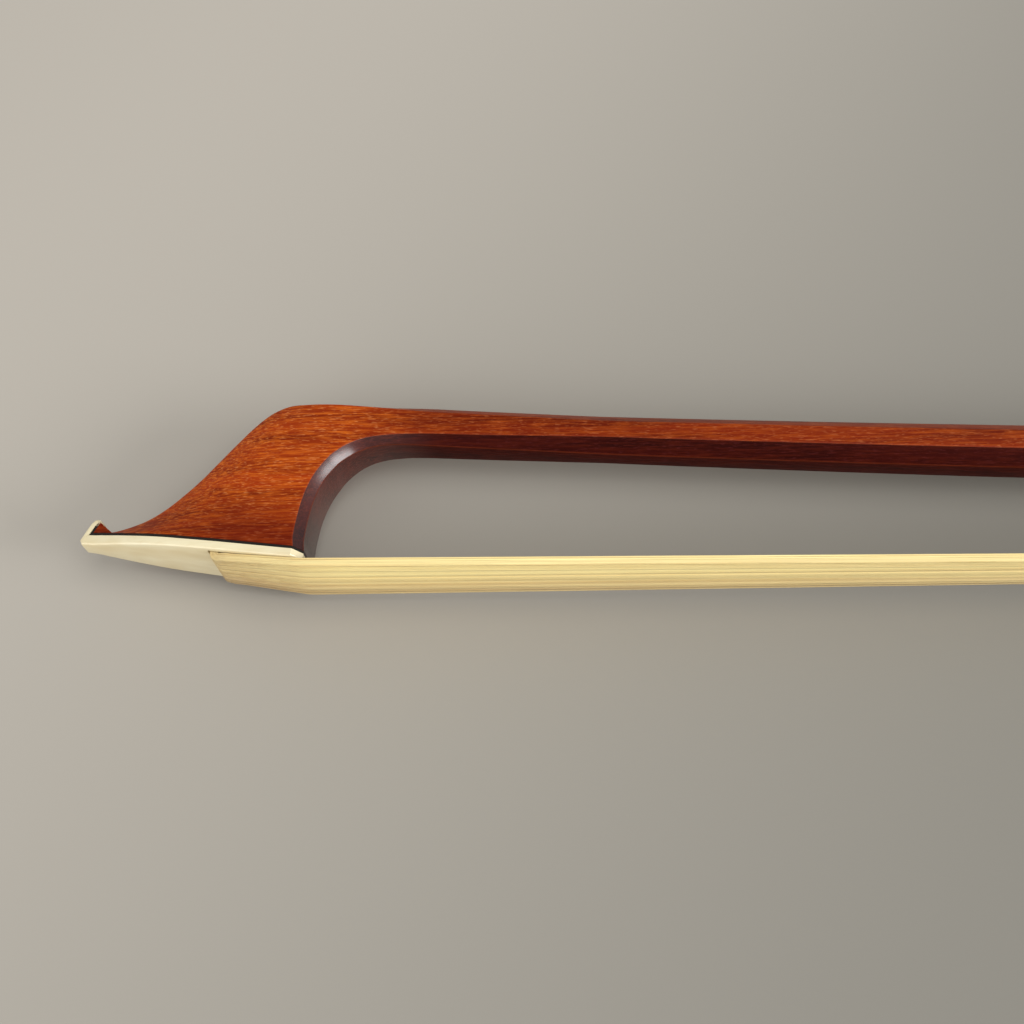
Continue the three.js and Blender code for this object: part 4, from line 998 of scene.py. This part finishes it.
bm = bmesh.new()
bm.from_mesh(ebony_frog.data)
softened(bm, 0.35, 3)
bm.to_mesh(ebony_frog.data)
bm.free()
tongue = d_outline(FERRULE_WALL + 0.05, FERRULE_SIDE_Y)
cut(ebony_frog, lambda bm: along(bm, tongue, 0.25, shoulder + 1), "UNION")
SLIDE_TOP_Y = -0.3
SLIDE_HALF_OUTER = 4.5
SLIDE_HALF_INNER = 4.9
FROG_MORTISE_START = 19
FROG_MORTISE_END = 31
FROG_MORTISE_TOP_Y = 8.3
FROG_MORTISE_HALF = 4.3
hair_roof = SLIDE_TOP_Y + HAIR_THICKNESS + 0.5
slide_way = both_sides([
    (FROG_BOTTOM_Y - 2, SLIDE_HALF_OUTER + 0.05), (FROG_BOTTOM_Y, SLIDE_HALF_OUTER + 0.05),
    (SLIDE_TOP_Y, SLIDE_HALF_INNER + 0.05)])
hair_way = both_sides([(FROG_BOTTOM_Y, SLIDE_HALF_OUTER), (SLIDE_TOP_Y, SLIDE_HALF_INNER),
                       (hair_roof, SLIDE_HALF_INNER)])
mortise = [(FROG_MORTISE_START, SLIDE_TOP_Y), (FROG_MORTISE_END - 0.01, SLIDE_TOP_Y),
           (FROG_MORTISE_END - 0.01, FROG_MORTISE_TOP_Y), (FROG_MORTISE_START, FROG_MORTISE_TOP_Y)]
cut(ebony_frog, lambda bm: along(bm, slide_way, shoulder - 0.05, heel_start - 0.2))
cut(ebony_frog, lambda bm: along(bm, hair_way, shoulder - 0.1, FROG_MORTISE_END))
cut(ebony_frog, lambda bm: across(bm, mortise, lambda y: FROG_MORTISE_HALF))
for side in (1, -1):
    cut(ebony_frog, lambda bm: eye_rod(bm, EYE_RING_OUTER, side))
HEEL_PIN_RADIUS = 0.55
HEEL_PIN_LENGTH = 4.5
EYELET_X = 24
EYELET_RADIUS = 1.5
EYELET_LOW_Y = 11.5
LINER_SCREWS = [("front", 9.5), ("back", 39.0)]
LINER_SCREW_HEAD_Y = FROG_AXIS_Y - FLATS_AT_HANDLE / 2 - 0.15
upper_plate_height = UPPER_PLATE_TOP_Y - HEEL_HIGH_Y
heel_pins = [(FROG_LENGTH, HEEL_LOW_Y / 2)]
heel_pins += [(upper_back + GLUE_LINE + HEEL_PLATE, HEEL_HIGH_Y + upper_plate_height * share)
              for share in (0.25, 0.75)]
holes = [(in_frog(end_x - HEEL_PIN_LENGTH - 0.1, y), in_frog(end_x + 1, y), HEEL_PIN_RADIUS)
         for end_x, y in heel_pins]
holes.append((in_frog(EYELET_X, EYELET_LOW_Y), in_frog(EYELET_X, FROG_AXIS_Y), EYELET_RADIUS + 0.05))
holes += [(in_frog(x, LINER_SCREW_HEAD_Y - depth), in_frog(x, FROG_AXIS_Y), radius)
          for place, x in LINER_SCREWS for depth, radius in ((3.1, 0.65), (0.7, 1.25))]
for start, end, radius in holes:
    cut(ebony_frog, lambda bm: rod(bm, start, end, radius))
# The ebony between each pearl and its ring is part of the frog
for side in (1, -1):
    cut(ebony_frog, lambda bm: eye_rod(bm, EYE_RING_INNER, side, EYE_DEPTH + 0.2, 0), "UNION")
    cut(ebony_frog, lambda bm: eye_rod(bm, EYE_RADIUS + 0.02, side))
ebony_frog.data.shade_smooth()
ebony_frog.data.set_sharp_from_angle(angle=math.radians(30))
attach(ebony_frog, "frog")
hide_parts("frog_body")


# Silver of the frog
# The ferrule is a soldered D ring pushed over the tongue. A thin liner is screwed into the channel,
# two bent plates are pinned over the heel, and a ring is let in round each pearl eye.
def refined(node, name, body, material, radius, smooth_angle=35):
    """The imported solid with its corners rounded, as a piece of its own."""
    bm = bmesh.new()
    bm.from_mesh(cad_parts[node].data)
    softened(bm, radius)
    made = finished(name, bm, material, smooth_angle)
    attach(made, body)
    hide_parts(node)
    return made


for node, name, radius in (
        ("ferrule", "silver_ferrule", 0.15), ("frog_liner", "silver_liner", 0.06),
        ("heel_plate_lower", "lower_heel_plate", 0.15), ("heel_plate_upper", "upper_heel_plate", 0.15),
        ("heel_pin_lower", "lower_heel_pin", 0.1), ("heel_pin_middle", "middle_heel_pin", 0.1),
        ("heel_pin_upper", "upper_heel_pin", 0.1), ("eye_ring_left", "left_eye_ring", 0.08),
        ("eye_ring_right", "right_eye_ring", 0.08)):
    refined(node, name, "frog", silver, radius)


# Slide and eyes
# The slide is a leaf of mother of pearl glued on ebony, pushed in under the hair. The eyes are
# pearl discs let into the two sides. The pearl shows soft clouds of green, rose and white.
PEARL_WHITE = (0.60, 0.61, 0.57)
PEARL_ROSE = (0.58, 0.49, 0.50)
PEARL_GREEN = (0.42, 0.54, 0.50)
pearl, tree, shader = plain_finish("mother_of_pearl", PEARL_WHITE, 0.22)
layers = []
for scale, distortion in ((90, 2.5), (130, 4.0)):
    noise = noise_over(tree, (1, 1, 1), scale, 5)
    noise.inputs["Distortion"].default_value = distortion
    layers.append(ranged(tree, noise.outputs["Fac"], 0.42, 0.62))
rosy = mix_colour(tree, layers[0], PEARL_WHITE, PEARL_ROSE)
surfaced(tree, shader, mix_colour(tree, layers[1], rosy, PEARL_GREEN), layers[0], 0.2, 0.00003)
shader.inputs["Coat Weight"].default_value = 0.8
shader.inputs["Coat Roughness"].default_value = 0.08
refined("slide_pearl", "pearl_slide", "frog", pearl, 0.12)
refined("slide_base", "ebony_slide", "frog", ebony, 0.06)
for side in ("left", "right"):
    refined(f"eye_pearl_{side}", f"{side}_eye", "frog", pearl, 0.2)


# Plugs and wedge
# Small blocks of maple, cut to fit, that hold the hair in the two mortises and spread it in the
# ferrule. They are pushed in and never glued, so they come out when the bow is haired again.
MAPLE = (0.56, 0.39, 0.22)
MAPLE_DARK = (0.42, 0.26, 0.13)
maple, tree, shader = plain_finish("maple", MAPLE, 0.6)
fibres = grain_in(tree, "maple_grain", ((60, 500, 500), 2, 0.36, 0.64),
                  ((300, 4000, 4000), 3, 0.4, 0.66), ((900, 7000, 7000), 1, 0.62, 0.7))
ringed = mix_colour(tree, fibres["Bands"], MAPLE_DARK, MAPLE)
pored = mix_colour(tree, fibres["Pores"], ringed, MAPLE_DARK)
surfaced(tree, shader, pored, fibres["Streaks"], 0.4, 0.00005)
refined("tip_plug", "head_plug", "stick", maple, 0.1)
refined("frog_plug", "mortise_plug", "frog", maple, 0.1)
refined("ferrule_wedge", "spreading_wedge", "frog", maple, 0.15)


# Knots
# At each end the hank is lashed with waxed linen thread and its tips are singed into a hard bead,
# which keeps the lashing from slipping off in the mortise.
THREAD_DIAMETER = 0.27
THREAD_TURNS = 4
LASHING_LENGTH = 1.1
KNOT_HALF_HEIGHT = 1.1
KNOT_HALF_WIDTH = 2.6
KNOT_LENGTH = 2.5
NECK_HALF_HEIGHT = 0.6
NECK_HALF_WIDTH = 1.9
THREAD = (0.74, 0.69, 0.58)
THREAD_SHADE = (0.48, 0.42, 0.31)
thread, tree, shader = plain_finish("waxed_thread", THREAD, 0.65)
twist = tree.nodes.new("ShaderNodeTexWave")
twist.inputs["Scale"].default_value = 1600
twist.inputs["Distortion"].default_value = 1.5
twist.bands_direction = "DIAGONAL"
tree.links.new(own_place(tree), twist.inputs["Vector"])
strand = twist.outputs["Fac"]
surfaced(tree, shader, mix_colour(tree, strand, THREAD_SHADE, THREAD), strand, 0.5, 0.00005)
SINGED = (0.075, 0.042, 0.02)
SINGED_BROWN = (0.24, 0.14, 0.06)
singed, tree, shader = plain_finish("singed_hair", SINGED, 0.7)
crust = noise_over(tree, (1, 1, 1), 2600, 4).outputs["Fac"]
surfaced(tree, shader, mix_colour(tree, crust, SINGED, SINGED_BROWN), crust, 0.8, 0.0001)


def knot(where, body, place, hair_end, middle):
    """The lashing and the singed bead of one end; place gives (length, height, side) on the bow."""
    thread_start = hair_end - 0.25 - LASHING_LENGTH
    bm = bmesh.new()
    rings = []
    steps = THREAD_TURNS * 24
    for step in range(steps + 1):
        a = math.pi * 2 * step / 24
        s = thread_start + THREAD_DIAMETER / 2
        s += (LASHING_LENGTH - THREAD_DIAMETER) * step / steps
        height = (KNOT_HALF_HEIGHT - THREAD_DIAMETER / 2) * math.cos(a)
        width = (KNOT_HALF_WIDTH - THREAD_DIAMETER / 2) * math.sin(a)
        centre = place(s, middle + height, width)
        outward = place(s, middle + height + math.cos(a), width + math.sin(a)) - centre
        forward = place(s + 1, middle + height, width) - centre
        rings.append(rod_ring(centre, outward, forward, THREAD_DIAMETER * 0.49, 6))
    skin(bm, rings)
    lashing = finished(f"{where}_lashing", bm, thread, 70)
    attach(lashing, body)
    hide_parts(f"{where}_knot_thread")
    bm = bmesh.new()
    bead_end = thread_start - 0.25
    angles = [math.pi * 2 * j / 24 for j in range(24)]
    skin(bm, [[place(s, middle + NECK_HALF_HEIGHT * math.cos(a), NECK_HALF_WIDTH * math.sin(a))
               for a in angles] for s in (bead_end - 0.5, bead_end, hair_end - 0.3)])
    bead = bmesh.ops.create_icosphere(bm, subdivisions=4, radius=1)
    for vert in bead["verts"]:
        lump = 0.93 + 0.14 * mathutils_noise.noise(vert.co * 2.3)
        vert.co = on_bow(*place(bead_end - KNOT_LENGTH / 2 * (1 - vert.co.x * lump),
                                middle + vert.co.y * lump * KNOT_HALF_HEIGHT * 0.98,
                                vert.co.z * lump * KNOT_HALF_WIDTH * 0.98))
    bead_piece = finished(f"{where}_bead", bm, singed, 60)
    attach(bead_piece, body)
    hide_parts(f"{where}_knot")


knot("tip", "stick", on_plate, TIP_HAIR_END, 7.25)
knot("frog", "frog", in_frog, FROG_HAIR_END, 6.7)


# Eyelet and liner screws
# The brass eyelet stands in the frog and is the nut for the long screw. Two small steel screws with
# slotted heads hold the liner.
brass = metal("brass", (0.72, 0.53, 0.22), (0.46, 0.33, 0.15), 0.3, 400)
steel = metal("steel", (0.52, 0.53, 0.55), (0.34, 0.33, 0.32), 0.3, 500)
DRIVER_SLOT_HALF = 0.15
DRIVER_SLOT_DEPTH = 0.3
refined("frog_eyelet", "brass_eyelet", "frog", brass, 0.12)
for place, x in LINER_SCREWS:
    screw = refined(f"liner_screw_{place}", f"{place}_liner_screw", "frog", steel, 0.08)
    low, high = LINER_SCREW_HEAD_Y - DRIVER_SLOT_DEPTH, LINER_SCREW_HEAD_Y + 1
    left, right = x - DRIVER_SLOT_HALF, x + DRIVER_SLOT_HALF
    slot = [(left, low), (right, low), (right, high), (left, high)]
    cut(screw, lambda bm: across(bm, slot, lambda y: 2))


# Screw and button
# A long steel screw is driven into the ebony button, which is planed to eight facets and slightly
# hollow. Two silver collars with a turned groove bind its ends, and a pearl disc closes the back.
BUTTON_START_X = 700.3
BUTTON_LENGTH = 15.7
BUTTON_FLATS = 9.2
COLLAR_LENGTH = 4.4
BUTTON_STEM_RADIUS = 3.7
BUTTON_PEARL_RADIUS = 3
BUTTON_PEARL_DEPTH = 1.25
GROOVE_DEEP = 0.22
collar_profile = [(0, -0.25), (0.25, 0), (1.0, 0), (1.12, -GROOVE_DEEP), (1.3, -GROOVE_DEEP), (1.42, 0),
                  (2.98, 0), (3.1, -GROOVE_DEEP), (3.28, -GROOVE_DEEP), (3.4, 0), (4.2, 0), (4.4, -0.2)]
button_end = BUTTON_START_X + BUTTON_LENGTH
stem_bore = BUTTON_STEM_RADIUS + 0.05
front_bores = [(BUTTON_START_X - 1, stem_bore, 32)]
back_bores = [(button_end + 1, BUTTON_PEARL_RADIUS + 0.03, 48),
              (button_end - BUTTON_PEARL_DEPTH, stem_bore, 32)]
for place, start, step, bores in (("front", BUTTON_START_X, 1, front_bores),
                                  ("back", button_end, -1, back_bores)):
    bm = bmesh.new()
    rings = []
    for distance, rise in collar_profile:
        ring = [wrapped_point(BUTTON_FLATS / 2 + rise, 0.35, corner, turn)[0]
                for corner in range(8) for turn in (0, 0.5, 1)]
        rings.append([Vector((start + step * distance, FROG_AXIS_Y + p.x, p.y)) for p in ring])
    skin(bm, rings)
    collar = finished(f"{place}_collar", bm, silver, 30)
    far = Vector((start + step * (COLLAR_LENGTH + 1), FROG_AXIS_Y, 0))
    for near_x, radius, sides in bores:
        cut(collar, lambda bm: rod(bm, Vector((near_x, FROG_AXIS_Y, 0)), far, radius, sides))
    collar.data.set_sharp_from_angle(angle=math.radians(30))
    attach(collar, "button")
    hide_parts(f"button_collar_{place}")
refined("button_core", "ebony_button", "button", ebony, 0.25)
refined("button_pearl", "button_eye", "button", pearl, 0.25)
refined("button_screw", "long_screw", "button", steel, 0, 40)


# Floor and light
# A floor with a painted light falloff, paler towards the head's nose, a broad soft lamp above, a
# second one that fills in from the left in front, and a smaller one far to the right that shines in the
# throat.
floor_bm = bmesh.new()
bmesh.ops.create_grid(floor_bm, x_segments=1, y_segments=1, size=3)
FLOOR_PALE = (0.44, 0.405, 0.355)
FLOOR_PAINTED_SHADE = (0.20, 0.19, 0.165)
floor_material, tree, shader = plain_finish("floor", FLOOR_PALE, 0.9)
turned = tree.nodes.new("ShaderNodeMapping")
turned.inputs["Rotation"].default_value = (0, 0, math.radians(30))
tree.links.new(own_place(tree), turned.inputs["Vector"])
axes = tree.nodes.new("ShaderNodeSeparateXYZ")
tree.links.new(turned.outputs["Vector"], axes.inputs["Vector"])
# Painted light: the floor's colour falls off from pale to dim
painted_light_falloff = ranged(tree, axes.outputs["X"], -0.37, -0.13)
painted_light_falloff.node.interpolation_type = "SMOOTHSTEP"
tree.links.new(mix_colour(tree, painted_light_falloff, FLOOR_PALE, FLOOR_PAINTED_SHADE), shader.inputs["Base Color"])
floor = finished("floor", floor_bm, floor_material)


def soft_lamp(name, place, width, height, power):
    data = bpy.data.lights.new(name, "AREA")
    data.shape = "ELLIPSE"
    data.size = width
    data.size_y = height
    data.energy = power
    lamp = bpy.data.objects.new(name, data)
    bpy.context.scene.collection.objects.link(lamp)
    lamp.location = place
    lamp.rotation_euler = (Vector((-0.25, 0, 0)) - Vector(place)).to_track_quat("-Z", "Y").to_euler()


soft_lamp("lamp_above", (0.6, -0.16, 2.2), 2.0, 2.0, 23.5)
soft_lamp("lamp_front", (-1.15, -0.85, 0.4), 1.2, 1.0, 8)
soft_lamp("lamp_right", (1.37, -0.5, 0.64), 1.0, 0.6, 21)
world = bpy.data.worlds.new("world")
world.use_nodes = True
world.node_tree.nodes["Background"].inputs["Color"].default_value = (0.8, 0.8, 0.78, 1)
world.node_tree.nodes["Background"].inputs["Strength"].default_value = 0.66
bpy.context.scene.world = world
bpy.context.scene.view_settings.view_transform = "Standard"
